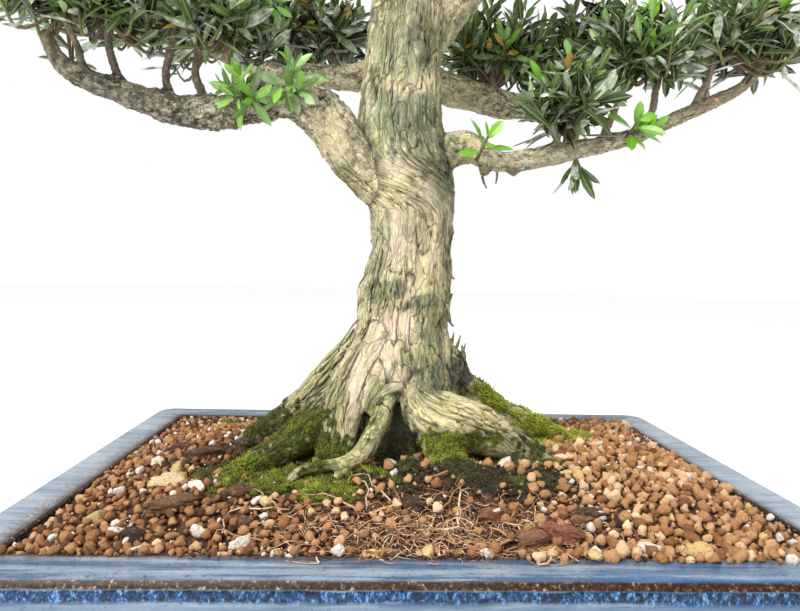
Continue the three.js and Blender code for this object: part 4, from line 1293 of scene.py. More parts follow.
# A plate's width over its length, to keep the cracks round it equally wide.
PLATE_ASPECT = 0.38
# A limb turns scaly between these lengths along it.
SCALY_FROM, SCALY_TO = 34, 84
# The length of a limb that is made with the trunk, below and in the crown, and how far the rest overlaps it.
LIMB_ROOTS = (62, 34)
CROWN_FROM = 430
OVERLAP = 22
# Tinted zones of the bark, by the attribute that each adds to: middle, reach each way and strength.
ZONES = {
    "pink": [
        ((-15, -34, 229), (13, 30, 11), 1.0), ((-22, -34, 206), (13, 30, 13), 0.7),
        ((-42, -46, 182), (8, 30, 26), 0.85), ((-14, -44, 194), (14, 30, 12), 0.5),
        ((-12, -28, 292), (17, 30, 22), 0.34), ((8, -28, 270), (7, 30, 22), 0.3),
        ((-46, -66, 152), (7, 16, 14), 0.35), ((6, -32, 316), (26, 30, 14), 0.45),
        ((-18, -20, 336), (18, 30, 10), 0.5), ((-86, -30, 384), (16, 30, 13), 0.5),
        ((98, -20, 350), (52, 30, 18), 0.38), ((-66, -30, 364), (22, 30, 20), 0.38),
    ],
    "yellow": [
        ((-20, -30, 322), (22, 30, 14), 0.7), ((-18, -30, 420), (26, 40, 26), 0.6),
        ((26, -58, 176), (42, 30, 14), 1.2), ((10, -28, 258), (14, 30, 40), 0.45),
        ((-28, -40, 196), (30, 30, 14), 0.3), ((-40, -68, 150), (20, 20, 16), 0.6),
        ((-62, -30, 358), (18, 30, 20), 0.8), ((30, -12, 352), (12, 30, 12), 0.6),
    ],
    "grey": [
        ((-14, -30, 366), (34, 40, 26), 0.95), ((-24, -32, 251), (18, 30, 8), 0.9),
        ((2, -32, 243), (16, 30, 7), 0.75), ((12, -34, 224), (14, 30, 14), 0.7),
        ((8, -40, 192), (12, 30, 20), 0.85), ((20, -20, 330), (14, 30, 26), 0.6),
        ((-24, -28, 448), (30, 40, 16), 0.5), ((-14, -30, 428), (30, 40, 30), 0.65),
        ((20, -30, 300), (9, 30, 22), 0.5), ((-30, -20, 300), (8, 30, 60), 0.4),
    ],
    # The dark zone is partly dark weathered bark and partly painted shade, as in the narrow gap between the
    # front roots.
    "dark": [
        ((-24, -46, 140), (15, 14, 13), 1.3), ((34, -12, 192), (16, 24, 18), 1.2),
        ((-214, -17, 384), (104, 30, 34), 0.75), ((-18, -42, 176), (14, 8, 8), 1.3),
        ((-6, -46, 156), (14, 16, 20), 1.4), ((-46, -8, 358), (12, 30, 12), 0.6),
        ((-4, -30, 426), (9, 30, 12), 0.7), ((16, -20, 346), (10, 30, 14), 0.5),
        ((26, -34, 206), (12, 20, 18), 0.6), ((12, -44, 184), (8, 12, 12), 0.5),
        ((26, -14, 318), (7, 20, 46), 0.5),
    ],
    "smooth": [
        ((-32, -62, 158), (12, 14, 22), 1.0), ((-60, -73, 141), (30, 10, 10), 1.0),
    ],
}
# Moss on the wood: middle, reach each way, strength, and how bright it is.
WOOD_MOSS = [
    ((-112, 6, 142), (42, 40, 18), 1.1, 0.45), ((-86, -34, 152), (38, 32, 22), 1.6, 0.5),
    ((-118, -58, 132), (34, 22, 14), 1.2, 0.7), ((-66, -54, 146), (20, 20, 17), 1.1, 0.6),
    ((22, -68, 152), (32, 16, 12), 1.2, 0.7), ((66, -34, 146), (34, 24, 11), 0.8, 0.45),
    ((104, 24, 142), (46, 32, 22), 1.3, 1.0), ((58, 10, 172), (24, 18, 13), 1.2, 0.9),
    ((28, -88, 134), (30, 30, 24), 1.2, 0.2), ((58, 84, 140), (34, 34, 18), 0.8, 0.5),
    ((-70, 92, 138), (34, 34, 18), 0.8, 0.5), ((-4, 92, 136), (24, 34, 18), 0.7, 0.4),
    ((0, -50, 144), (16, 14, 14), 1.1, 0.3), ((-24, -46, 138), (16, 15, 15), 1.2, 0.3),
]


def tube_object(name, paths):
    """Round tubes along paths, as a bevelled curve turned into a mesh."""
    curve = bpy.data.curves.new(name, "CURVE")
    curve.dimensions = "3D"
    curve.bevel_depth = 1.0
    curve.bevel_resolution = 4
    curve.use_fill_caps = True
    curve.twist_mode = "MINIMUM"
    for path in paths:
        spline = curve.splines.new("POLY")
        spline.points.add(len(path) - 1)
        places = np.column_stack([metres(path[:, :3]), np.ones(len(path))])
        spline.points.foreach_set("co", places.astype(np.float32).ravel())
        spline.points.foreach_set("radius", (path[:, 3] * MM).astype(np.float32))
    piece = bpy.data.objects.new(name, curve)
    bpy.context.scene.collection.objects.link(piece)
    pick(piece)
    bpy.ops.object.convert(target="MESH")
    return bpy.context.object


def trunk_object():
    """The fluted trunk as a closed skin over rings."""
    path = rounded_path(TRUNK)
    angle = np.arange(96) * 2 * math.pi / 96
    rings = []
    for x, y, z, radius in path:
        reach = radius * fluting(angle, z)
        rings.append(np.column_stack([x + reach * np.cos(angle), y + reach * np.sin(angle), np.full(96, z)]))
    return mesh_object("trunk_form", *capped(rings))


def zones(points):
    """How strongly each tint colours each point, with ragged edges."""
    ragged = 0.5 * noise(points / (6, 6, 14), 51) + 0.3 * noise(points / 2.8, 52)
    found = {}
    for name, rows in ZONES.items():
        found[name] = np.zeros(len(points))
        for middle, reach, strength in rows:
            away = np.linalg.norm((points - middle) / reach, axis=1)
            found[name] = np.maximum(found[name], strength * smoothstep(1.25, 0.55, away + ragged))
    return found


def wood_moss(points):
    """How mossy the wood is at each point, and how bright the moss there is."""
    ragged = 0.5 * noise(points / 9, 55) + 0.4 * noise(points / 4, 56)
    strength, bright = np.zeros(len(points)), np.full(len(points), 0.5)
    for middle, reach, most, tone in WOOD_MOSS:
        away = np.linalg.norm((points - middle) / reach, axis=1)
        here = most * smoothstep(1.3, 0.6, away + ragged)
        bright = np.where(here > strength, tone, bright)
        strength = np.maximum(strength, here)
    return strength, bright


def hollows(piece, rounds=14):
    """How far each point lies below the mean of its surroundings, in millimetres, and above it below zero."""
    mesh = piece.data
    edges = np.zeros(len(mesh.edges) * 2, np.int32)
    mesh.edges.foreach_get("vertices", edges)
    one, other = edges.reshape(-1, 2).T
    ends, starts = np.r_[one, other], np.r_[other, one]
    points = points_of(piece)
    count = np.bincount(ends, minlength=len(points))[:, None]
    mean = points.copy()
    for _ in range(rounds):
        mean = np.column_stack([np.bincount(ends, mean[starts, k], len(points)) for k in range(3)]) / count
    return ((mean - points) * normals_of(piece)).sum(1)


def strip_relief(spot, warp):
    """Long shingled strips with dark gaps, from coordinates in a limb's own frame."""
    flow = spot + np.column_stack([warp * 3.2, warp * -2.6, warp * 9])
    plate = noise(flow / (12, 12, 46), 3) * 2.3 + 0.22 * noise(flow / (4, 4, 9), 4)
    saw = plate - np.floor(plate)
    gap = np.exp(-(noise(flow / (10, 10, 40), 5) / 0.06) ** 2)
    ridges = noise(flow / (6, 6, 26), 8)
    height = 1.0 * saw - 1.2 * gap + 0.35 * ridges
    edge = smoothstep(0.12, 0.0, saw)
    return height, np.clip(0.9 * gap + 0.6 * edge, 0, 1)


def scale_relief(spot, warp):
    """Rough scaly bark of the older limbs."""
    flow = spot + np.column_stack([warp * 2, warp * -2, warp * 4])
    plate = noise(flow / (5, 5, 13), 23) * 2.4
    saw = plate - np.floor(plate)
    gap = np.exp(-(noise(flow / (4.2, 4.2, 16), 25) / 0.12) ** 2)
    rings = np.exp(-(noise(flow / (14, 14, 3.6), 27) / 0.12) ** 2)
    height = 0.9 * saw - 1.0 * gap - 0.5 * rings + 0.6 * noise(spot / 2.4, 29)
    return height, np.clip(0.8 * gap + 0.3 * rings + 0.5 * smoothstep(0.16, 0, saw), 0, 1)


def scaliness(sample):
    """How scaly the bark is: not at all on the trunk, more along a limb, and wholly on a twig."""
    kind = WOOD.kind(sample)
    return smoothstep(SCALY_FROM, SCALY_TO, WOOD.along[sample]) * (kind == SCALY) + (kind == TWIGGY)


def plate_flow(points, sample):
    """Places on the bark in plates across and along, apart for each limb."""
    spot = WOOD.local(points, sample)
    limb = np.searchsorted(WOOD.starts, sample, side="right")
    size = PLATES[WOOD.kind(sample)]
    around = np.arctan2(spot[:, 1], spot[:, 0]) * WOOD.girth[limb - 1]
    across = around / size[:, 0] + 17 * limb
    return np.column_stack([across, spot[:, 2] / size[:, 1] + 5 * limb, np.zeros(len(points))])


def bark_values(points, normals, sample):
    """What the bark's material follows at each point."""
    tints = zones(points)
    over = points[:, 2] - mound_height(points[:, 0], points[:, 1])
    moss, bright = wood_moss(points)
    facing_up = smoothstep(-0.5, 0.5, normals[:, 2])
    low = smoothstep(115, 8, over + 26 * noise(points / 16, 81))
    side = smoothstep(0.1, 0.9, np.abs(normals[:, 0]))
    patchy = smoothstep(-0.1, 0.7, layered(points / (16, 16, 34), 91))
    green = np.clip(0.85 * low + 0.6 * side * patchy + 0.45 * patchy + 0.9 * tints["smooth"], 0, 1)
    green *= np.clip(1 - 0.8 * tints["pink"] - 0.65 * tints["yellow"], 0, 1)
    return {
        **tints, "flow": plate_flow(points, sample), "green": green, "bright": bright,
        "moss": np.clip(moss * (0.45 + 0.55 * facing_up), 0, 1),
        "scaly": scaliness(sample),
        "young": smoothstep(6.6, 4.4, WOOD.radii[sample]) * (WOOD.kind(sample) != STRIPPED),
        "hollow": np.zeros(len(points)),
    }


def bark(piece, depth):
    """Presses the bark's relief into a piece of wood, and stores what its material follows."""
    points, normals = points_of(piece), normals_of(piece)
    samples, weights = WOOD.nearest(points)
    warp = noise(points / 24, 61)
    height, crack = np.zeros(len(points)), np.zeros(len(points))
    for k in range(samples.shape[1]):
        spot = WOOD.local(points, samples[:, k])
        scaly = scaliness(samples[:, k])
        spot[:, 2] += 37 * np.searchsorted(WOOD.starts, samples[:, k], side="right")
        strips, scales = strip_relief(spot, warp), scale_relief(spot, warp)
        height += weights[:, k] * (1.4 * scaly * scales[0] + (1 - scaly) * strips[0])
        crack += weights[:, k] * (scaly * scales[1] + (1 - scaly) * strips[1])
    sample = samples[:, 0]
    radius = WOOD.radii[sample]
    values = bark_values(points, normals, sample)
    keep = 1 - 0.8 * np.clip(values["pink"], 0, 1)
    lump = 1.4 * noise(points / 21, 71) + 0.9 * noise(points / 9, 72)
    rough = 1.6 * np.clip(values["dark"], 0, 1) * noise(points / 4.5, 73)
    offset = np.clip(radius / 16, 0.12, 1) * depth * (height * keep + lump + rough)
    offset += 0.5 * (WOOD.kind(sample) == TWIGGY) * noise(points / (5, 5, 2.2), 74)
    move_points(piece, points + normals * offset[:, None])
    values["hollow"] = hollows(piece)
    values["crack"] = crack * keep * smoothstep(2.0, 7.0, radius)
    add_attributes(piece.data, values)
    return piece


def bark_material(settings):
    """Peeling cream and tan plates with dark cracks, green low down, scaly on the limbs."""
    look = Look("bark")
    place = look.place()
    flow = look.attribute("flow", "Vector")
    pink, yellow, grey, dark, smooth = (look.attribute(name) for name in ZONES)
    scaly, green, young, hollow, mossy = (
        look.attribute(name) for name in ("scaly", "green", "young", "hollow", "moss"))
    bend = look.node("TexNoise", {"Vector": look.stretched(flow, (0.9, 1.1, 1)), "Scale": 1.0, "Detail": 4.0})
    centred = look.vector("SUBTRACT", bend.outputs["Color"], (0.5, 0.5, 0.5))
    path = look.vector("ADD", flow, look.vector("MULTIPLY", centred, (1.3, 0.7, 0)))
    wide = plates_texture(look, path, (1, 1, 1))
    fine = plates_texture(look, path, (2.7, 2.1, 1))
    hair = plates_texture(look, path, (6.1, 4.6, 1))
    streaks = look.noise(look.stretched(path, (4.4, 0.8, 1)), 1, 6, 0.75)
    fibre = look.noise(look.stretched(path, (13, 2.4, 1)), 1, 5, 0.7)
    knobs = look.noise(place, 230, 6, 0.72)
    drift = look.noise(place, 26, 6, 0.62)
    patches = look.noise(place, 70, 6, 0.7)

    tone = look.node("SeparateColor", {"Color": wide[1]}).outputs
    fine_tone = look.node("SeparateColor", {"Color": fine[1]}).outputs
    blend = look.plus(
        look.scaled(drift, 0.6), look.scaled(patches, 0.4), look.about(tone[0], 0.06),
        look.about(fine_tone[1], 0.05))
    wood = look.ramp(blend, [
        (0.38, srgb(98, 104, 72)), (0.44, srgb(150, 148, 102)), (0.48, settings.tan),
        (0.54, settings.cream), (0.62, srgb(238, 218, 184))])
    grit = look.noise(place, 620, 5, 0.75)
    wood = look.mixed(look.ramp(grit, [(0.36, 0.6), (0.46, 0.0)]), wood, srgb(88, 80, 52))
    wood = look.mixed(look.ramp(streaks, [(0.32, 0.6), (0.46, 0.0)]), wood, srgb(104, 94, 60))
    wood = look.mixed(look.ramp(streaks, [(0.54, 0.0), (0.66, 0.6)]), wood, srgb(244, 232, 200))
    rugged = look.plus(look.scaled(patches, 0.25), look.scaled(knobs, 0.75))
    limb = look.ramp(look.plus(rugged, look.about(tone[1], 0.05)), [
        (0.47, srgb(20, 16, 10)), (0.492, srgb(92, 80, 60)), (0.514, srgb(172, 160, 132)),
        (0.536, srgb(244, 236, 212))])
    wood = look.mixed(look.scaled(scaly, 0.92), wood, limb)
    twig = look.ramp(knobs, [(0.4, srgb(70, 40, 28)), (0.52, srgb(134, 90, 66)), (0.62, srgb(206, 170, 144))])
    wood = look.mixed(look.scaled(young, 0.9), wood, twig)
    straw = look.ramp(streaks, [(0.36, srgb(204, 186, 108)), (0.6, srgb(252, 242, 184))])
    wood = look.mixed(by_plate(look, yellow, tone, 0.8), wood, straw)
    rose = look.ramp(streaks, [
        (0.34, srgb(214, 180, 146)), (0.48, srgb(234, 210, 180)), (0.66, srgb(252, 238, 220))])
    wood = look.mixed(by_plate(look, pink, tone, 0.82), wood, rose)
    slate = look.ramp(streaks, [(0.36, srgb(58, 72, 56)), (0.62, srgb(148, 156, 124))])
    wood = look.mixed(by_plate(look, grey, tone, 0.8), wood, slate)
    tint = look.times(green, look.ramp(patches, [(0.42, 0.1), (0.54, 1.0)]))
    algae = look.ramp(streaks, [(0.38, srgb(86, 98, 34)), (0.58, settings.green)])
    wood = look.mixed(look.scaled(tint, 0.84), wood, algae)
    film = look.ramp(rugged, [
        (0.45, srgb(58, 70, 14)), (0.5, srgb(134, 136, 56)), (0.56, srgb(224, 214, 140))])
    wood = look.mixed(look.scaled(smooth, 0.8), wood, film)
    shaded = look.plus(look.scaled(grey, 0.8), look.scaled(smooth, 0.7))
    fresh = look.rest(shaded)
    soft = look.rest(look.plus(look.scaled(pink, 0.7), look.scaled(yellow, 0.6)))
    threads = look.times(look.ramp(fibre, [(0.36, 0.75), (0.47, 0.0)]), soft)
    wood = look.mixed(threads, wood, srgb(86, 80, 50))
    pale = look.times(look.ramp(fibre, [(0.53, 0.0), (0.66, 0.6)]), fresh)
    wood = look.mixed(pale, wood, srgb(244, 232, 200))
    # Dark bark, and painted shade where the dark zone marks the gap between the front roots.
    dark_bark_and_shade = look.mixed(look.ramp(patches, [(0.4, 0.0), (0.6, 1.0)]), srgb(30, 32, 26), srgb(112, 108, 90))
    wood = look.mixed(look.scaled(dark, 0.8), wood, dark_bark_and_shade)
    moss = moss_colour(look, look.attribute("bright"), place)
    wood = look.mixed(look.ramp(mossy, [(0.25, 0.0), (0.5, 0.97)]), wood, moss)

    calm = look.plus(look.scaled(pink, 0.8), look.scaled(smooth, 0.9))
    rough = look.rest(calm)
    crazed = look.ramp(look.noise(place, 34, 3, 0.6), [(0.42, 0.12), (0.56, 1.0)])
    crazed = look.times(look.plus(crazed, scaly, clamp=True), rough)
    thick = look.plus(look.scaled(scaly, 0.08), look.scaled(green, 0.05))
    gaps = crack_mask(look, (look.minus(wide[0], thick), *wide[1:]), rough, 0.04, 0.1)
    lines = crack_mask(look, (look.minus(fine[0], thick), *fine[1:]), crazed, 0.08, 0.18)
    hairs = crack_mask(look, hair, soft, 0.12, 0.3)
    covered = look.plus(look.scaled(mossy, 1.6), dark)
    bare = look.times(look.rest(covered), fresh)
    # Painted highlight: the bark is lightened where it bulges out above its surroundings.
    raised = look.ramp(look.plus(hollow, 0.8), [(0.0, 0.3), (0.6, 0.0)])
    wood = look.mixed(look.times(raised, bare), wood, srgb(238, 224, 186))
    lit = look.ramp(wide[0], [(0.08, 0.0), (0.12, 0.3), (0.22, 0.0)])
    lit = look.times(look.times(lit, bare), rough)
    wood = look.mixed(lit, wood, srgb(246, 234, 200))
    # Painted shade: the bark is darkened in its hollows, the more the deeper they lie.
    hollow_shade = look.ramp(look.scaled(hollow, 0.7), [(0.12, 0.0), (0.75, 0.9)])
    wood = look.mixed(hollow_shade, wood, look.mixed(patches, srgb(34, 34, 22), srgb(92, 90, 60)))
    colour = look.mixed(look.scaled(hairs, 0.5), wood, srgb(86, 78, 52))
    colour = look.mixed(look.scaled(lines, 0.75), colour, srgb(50, 46, 30))
    colour = look.mixed(look.scaled(gaps, 0.88), colour, settings.crack)
    # The crack attribute also carries the painted shade on the undersides of the loose strips.
    colour = look.mixed(look.ramp(look.attribute("crack"), [(0.4, 0.0), (1.0, 0.85)]), colour, settings.crack)

    plates = look.ramp(wide[0], [(0.0, 0.0), (0.09, 0.8), (0.4, 1.0)])
    small = look.ramp(fine[0], [(0.0, 0.0), (0.16, 1.0)])
    small = look.times(small, look.scaled(crazed, 0.5))
    height = look.plus(
        look.times(plates, rough), small, look.times(tone[2], look.scaled(rough, 0.7)),
        look.scaled(fine_tone[2], 0.2), look.scaled(fibre, 0.6),
        look.times(knobs, look.scaled(scaly, 2.6)), look.scaled(grit, 0.45))
    return look.finished(colour, 0.8, look.bump(height, 0.0018))


def by_plate(look, zone, tone, most):
    """A tinted zone whose edge follows the plates of bark."""
    return look.ramp(look.plus(zone, look.about(tone[2], 0.45)), [(0.2, 0.0), (0.62, most)])


def plates_texture(look, vector, scale):
    """A net of long plates: the distance to their cracks, a colour for each, and how open each crack is."""
    inputs = {"Vector": look.stretched(vector, scale), "Scale": 1.0, "Randomness": 1.0}
    edge, first, second = (
        look.node("TexVoronoi", inputs, voronoi_dimensions="2D", feature=kind).outputs
        for kind in ("DISTANCE_TO_EDGE", "F1", "F2"))
    way = look.vector("NORMALIZE", look.vector("SUBTRACT", second["Position"], first["Position"]))
    lean = look.vector("MULTIPLY", way, (1, PLATE_ASPECT, 0))
    size = look.node("VectorMath", {0: lean}, operation="LENGTH").outputs["Value"]
    ragged = look.about(look.noise(inputs["Vector"], 6, 5, 0.7), 0.24)
    even = look.rest(look.scaled(look.attribute("scaly"), 0.65))
    distance = look.plus(look.maths("DIVIDE", edge["Distance"], size), look.times(ragged, even))
    both = look.vector("ADD", first["Color"], second["Color"])
    mark = look.node("SeparateColor", {"Color": both}).outputs[0]
    return distance, first["Color"], look.maths("FRACT", look.scaled(mark, 5.3))


def crack_mask(look, plates, rough, core, reach):
    """Cracks of even width along the edges of plates, some open and some closed."""
    line = look.ramp(plates[0], [(0.0, 1.0), (core, 0.9), (reach, 0.0)])
    opened = look.ramp(plates[2], [(0.3, 0.0), (0.6, 1.0)])
    return look.times(look.times(line, opened), rough)


# Loose strips of bark with a place of their own: start, length, width, lift, and whether they hang down.
LOOSE_STRIPS = [
    ((20, -14, 262), 34, 5, 5, True), ((21, -16, 250), 26, 4, 6, True), ((22, -8, 286), 28, 4, 4, True),
    ((-30, -24, 214), 36, 5, 3, False), ((-36, -18, 222), 40, 4, 3, False),
    ((-20, -30, 232), 30, 4, 3, False), ((-6, -34, 234), 14, 6, 3, False),
    ((24, -20, 226), 26, 4, 4, False), ((34, -14, 196), 16, 4, 4, False), ((-50, -22, 196), 40, 4, 3, True),
    ((-58, -14, 192), 44, 4, 3, True), ((-44, -28, 206), 34, 4, 3, True), ((52, -56, 164), 18, 4, 4, True),
    ((46, -60, 164), 16, 3, 3, True), ((58, -50, 166), 20, 4, 4, True),
]


# Random strips on the trunk, those kept of as many on the limbs, and the points along each.
TRUNK_STRIPS = 420
LIMB_STRIPS = 200
STRIP_POINTS = 8


def strip_seeds(random, piece):
    """Random starts for loose strips: more on the trunk's sides and the root base, short ones on limbs."""
    points = points_of(piece)
    sample = WOOD.sample(points)
    kind, radius = WOOD.kind(sample), WOOD.radii[sample]
    over = points[:, 2] - mound_height(points[:, 0], points[:, 1])
    pink = zones(points)["pink"]
    able = np.where((over > 22) & (radius > 6) & (pink < 0.4) & (kind != TWIGGY))[0]
    rows = random.choice(able, TRUNK_STRIPS, replace=False)
    seeds = []
    for row in rows:
        scaly = kind[row] == SCALY
        length = random.uniform(5, 12) if scaly else random.uniform(12, 46)
        width = random.uniform(1.6, 3.4) if scaly else random.uniform(1.8, 4.6)
        seeds.append((points[row], length, width, random.uniform(0.2, 1.3), random.random() < 0.5))
    return seeds


def lay_strips(seeds, pieces):
    """Walks each strip over the bark along its grain: its middle line, the bark's normals and its values."""
    skin = BVHTree.FromPolygons(*merged_skin(pieces))
    strips = []
    for start, length, width, lift, down in seeds:
        step = length / (STRIP_POINTS - 1)
        spot = np.array(start, float)
        line, ups = [], []
        for _ in range(STRIP_POINTS):
            place, normal, _, _ = skin.find_nearest(Vector(spot))
            spot, up = np.array(place), np.array(normal)
            line.append(spot)
            ups.append(up)
            way = WOOD.flow(spot[None], WOOD.sample(spot[None]))[0] * (-1 if down else 1)
            spot = spot + unit(way - up * (way @ up)) * step
        strips.append((np.array(line), np.array(ups), width, lift))
    return strips


def merged_skin(pieces):
    """The points and polygons of several pieces, in millimetres."""
    points, faces, shift = [], [], 0
    for piece in pieces:
        own = points_of(piece)
        points += [Vector(point) for point in own]
        faces += [[v + shift for v in polygon.vertices] for polygon in piece.data.polygons]
        shift += len(own)
    return points, faces


def strip_mesh(random, strips):
    """Thin curled strips with a lens section, lifted at one end, and the painted shade on each, darkest on
    its underside.
    """
    lots = []
    for line, ups, width, lift in strips:
        count = len(line)
        t = np.linspace(0, 1, count)
        ways = unit(np.gradient(line, axis=0))
        sides = unit(np.cross(ups, ways))
        ragged = 1 + 0.25 * random.normal(size=count)
        half = 0.5 * width * np.clip(np.sin(math.pi * (0.08 + 0.86 * t)) ** 0.6 * ragged, 0.08, 1.3)
        raised = 0.1 + lift * t ** 3
        middle = line + ups * raised[:, None]
        curl = 0.22 * half + 0.25 * lift * t ** 2
        left = middle - sides * half[:, None] + ups * curl[:, None]
        right = middle + sides * half[:, None] + ups * curl[:, None] * 0.7
        top = middle + ups * (0.35 + 0.1 * random.random())
        bottom = middle - ups * 0.55
        # Painted shade: each strip is darkest on its underside and a little dark at its sides and ends.
        underside_shade = np.r_[np.tile([0.15, 0.9, 0.15, 0.0], count), 0.3, 0.3]
        lots.append((*capped(np.stack([left, bottom, right, top], axis=1)), {"crack": underside_shade}))
    return gathered(lots)


class BONSAI_OT_tree(bpy.types.Operator):
    """Grows the trunk, roots, limbs and twigs with their bark"""

    bl_idname = "bonsai.tree"
    bl_label = "Tree"

    def execute(self, context):
        settings = context.scene.bonsai_tree
        random = np.random.default_rng(17)
        material = bark_material(settings)
        near, far = [], []
        for knots in LIMBS:
            path = rounded_path(knots)
            length = walked(path)
            cut = LIMB_ROOTS[0] if path[0, 2] < CROWN_FROM else LIMB_ROOTS[1]
            root, tip = path[length < cut].copy(), path[length > cut - OVERLAP].copy()
            root[-2:, 3] *= (0.93, 0.8)
            tip[:2, 3] *= (0.8, 0.93)
            near.append(root)
            far.append(tip)
        bottom = [rounded_path(knots) for knots in ROOTS] + near
        burls = []
        for x, y, z, *radii in BURLS:
            bpy.ops.mesh.primitive_ico_sphere_add(subdivisions=4, radius=MM, location=metres([x, y, z]))
            bpy.ops.transform.resize(value=radii)
            bpy.ops.object.transform_apply(location=True, scale=True)
            burls.append(bpy.context.object)
        trunk = join([trunk_object(), tube_object("root_form", bottom), *burls], "tree_trunk")
        limbs = tube_object("tree_limbs", far + [rounded_path(knots, 3) for knots in TWIG_PATHS])
        for piece, step, turns in ((trunk, settings.trunk_step, 8), (limbs, settings.limb_step, 3)):
            apply_modifier(piece, "REMESH", mode="VOXEL", voxel_size=step, use_smooth_shade=True)
            apply_modifier(piece, "SMOOTH", factor=0.6, iterations=turns)
            bark(piece, settings.relief)
        settle(trunk, material, ["tree"])
        settle(limbs, material, ["tree"])
        seeds = LOOSE_STRIPS + strip_seeds(random, trunk) + strip_seeds(random, limbs)[:LIMB_STRIPS]
        points, faces, underside_shade = strip_mesh(random, lay_strips(seeds, [trunk, limbs]))
        values = bark_values(points, np.tile([0.0, 0, 0.5], (len(points), 1)), WOOD.sample(points))
        settle(mesh_object("loose_bark", points, faces, {**values, **underside_shade}), material)
        self.thin_twigs(material)
        return {"FINISHED"}

    def thin_twigs(self, material):
        """Dead twigs and splinters, as thin tapered tubes."""
        paths = [rounded_path(knots, 3) for knots in THIN_TWIGS]
        points, faces, _ = tubes(paths, 6)
        values = bark_values(points, np.zeros_like(points), WOOD.sample(points))
        worn = {"crack": np.full(len(points), 0.55), "dark": np.full(len(points), 0.5)}
        settle(mesh_object("dead_twigs", points, faces, {**values, **worn}), material)


# Moss, fine roots and other matter on the soil

def moss_material():
    """Moss tufts from dark algae to yellow-green, painted lighter at their tips and darker at their base as
    painted highlight and shade.
    """
    look = Look("moss")
    place = look.place()
    # Painted highlight and shade: each tuft is lighter at its tips and darker at its base.
    lift = look.times(look.minus(look.attribute("tip"), 0.55), 0.8)
    colour = moss_colour(look, look.plus(look.attribute("bright"), lift), place)
    return look.finished(colour, 0.8, look.relief(place, 800, 0.0004)[0])


def tuft_template():
    """One tuft of moss: a few thin cones that lean out from one point."""
    lean = [(0, 0), (0.6, 0), (-0.35, 0.5), (-0.3, -0.55), (0.4, 0.7)]
    parts = []
    for k, (x, y) in enumerate(lean):
        bpy.ops.mesh.primitive_cone_add(
            vertices=3, radius1=0.32, depth=1.0 + 0.15 * k, end_fill_type="NOTHING")
        points, faces = template(bpy.context.object)
        points[:, 2] += 0.5
        points[:, :2] += points[:, 2:] * (x, y) + np.array([x, y]) * 0.6
        parts.append((points, faces, {"tip": np.clip(points[:, 2], 0, 1)}))
    return gathered(parts)


# Tufts tried on the ground, the most tufts on the wood, fine roots in all, and the thicker ones of them.
SOIL_TUFTS = 36000
WOOD_TUFTS = 2600
FINE_ROOTS = 900
THICK_ROOTS = 34


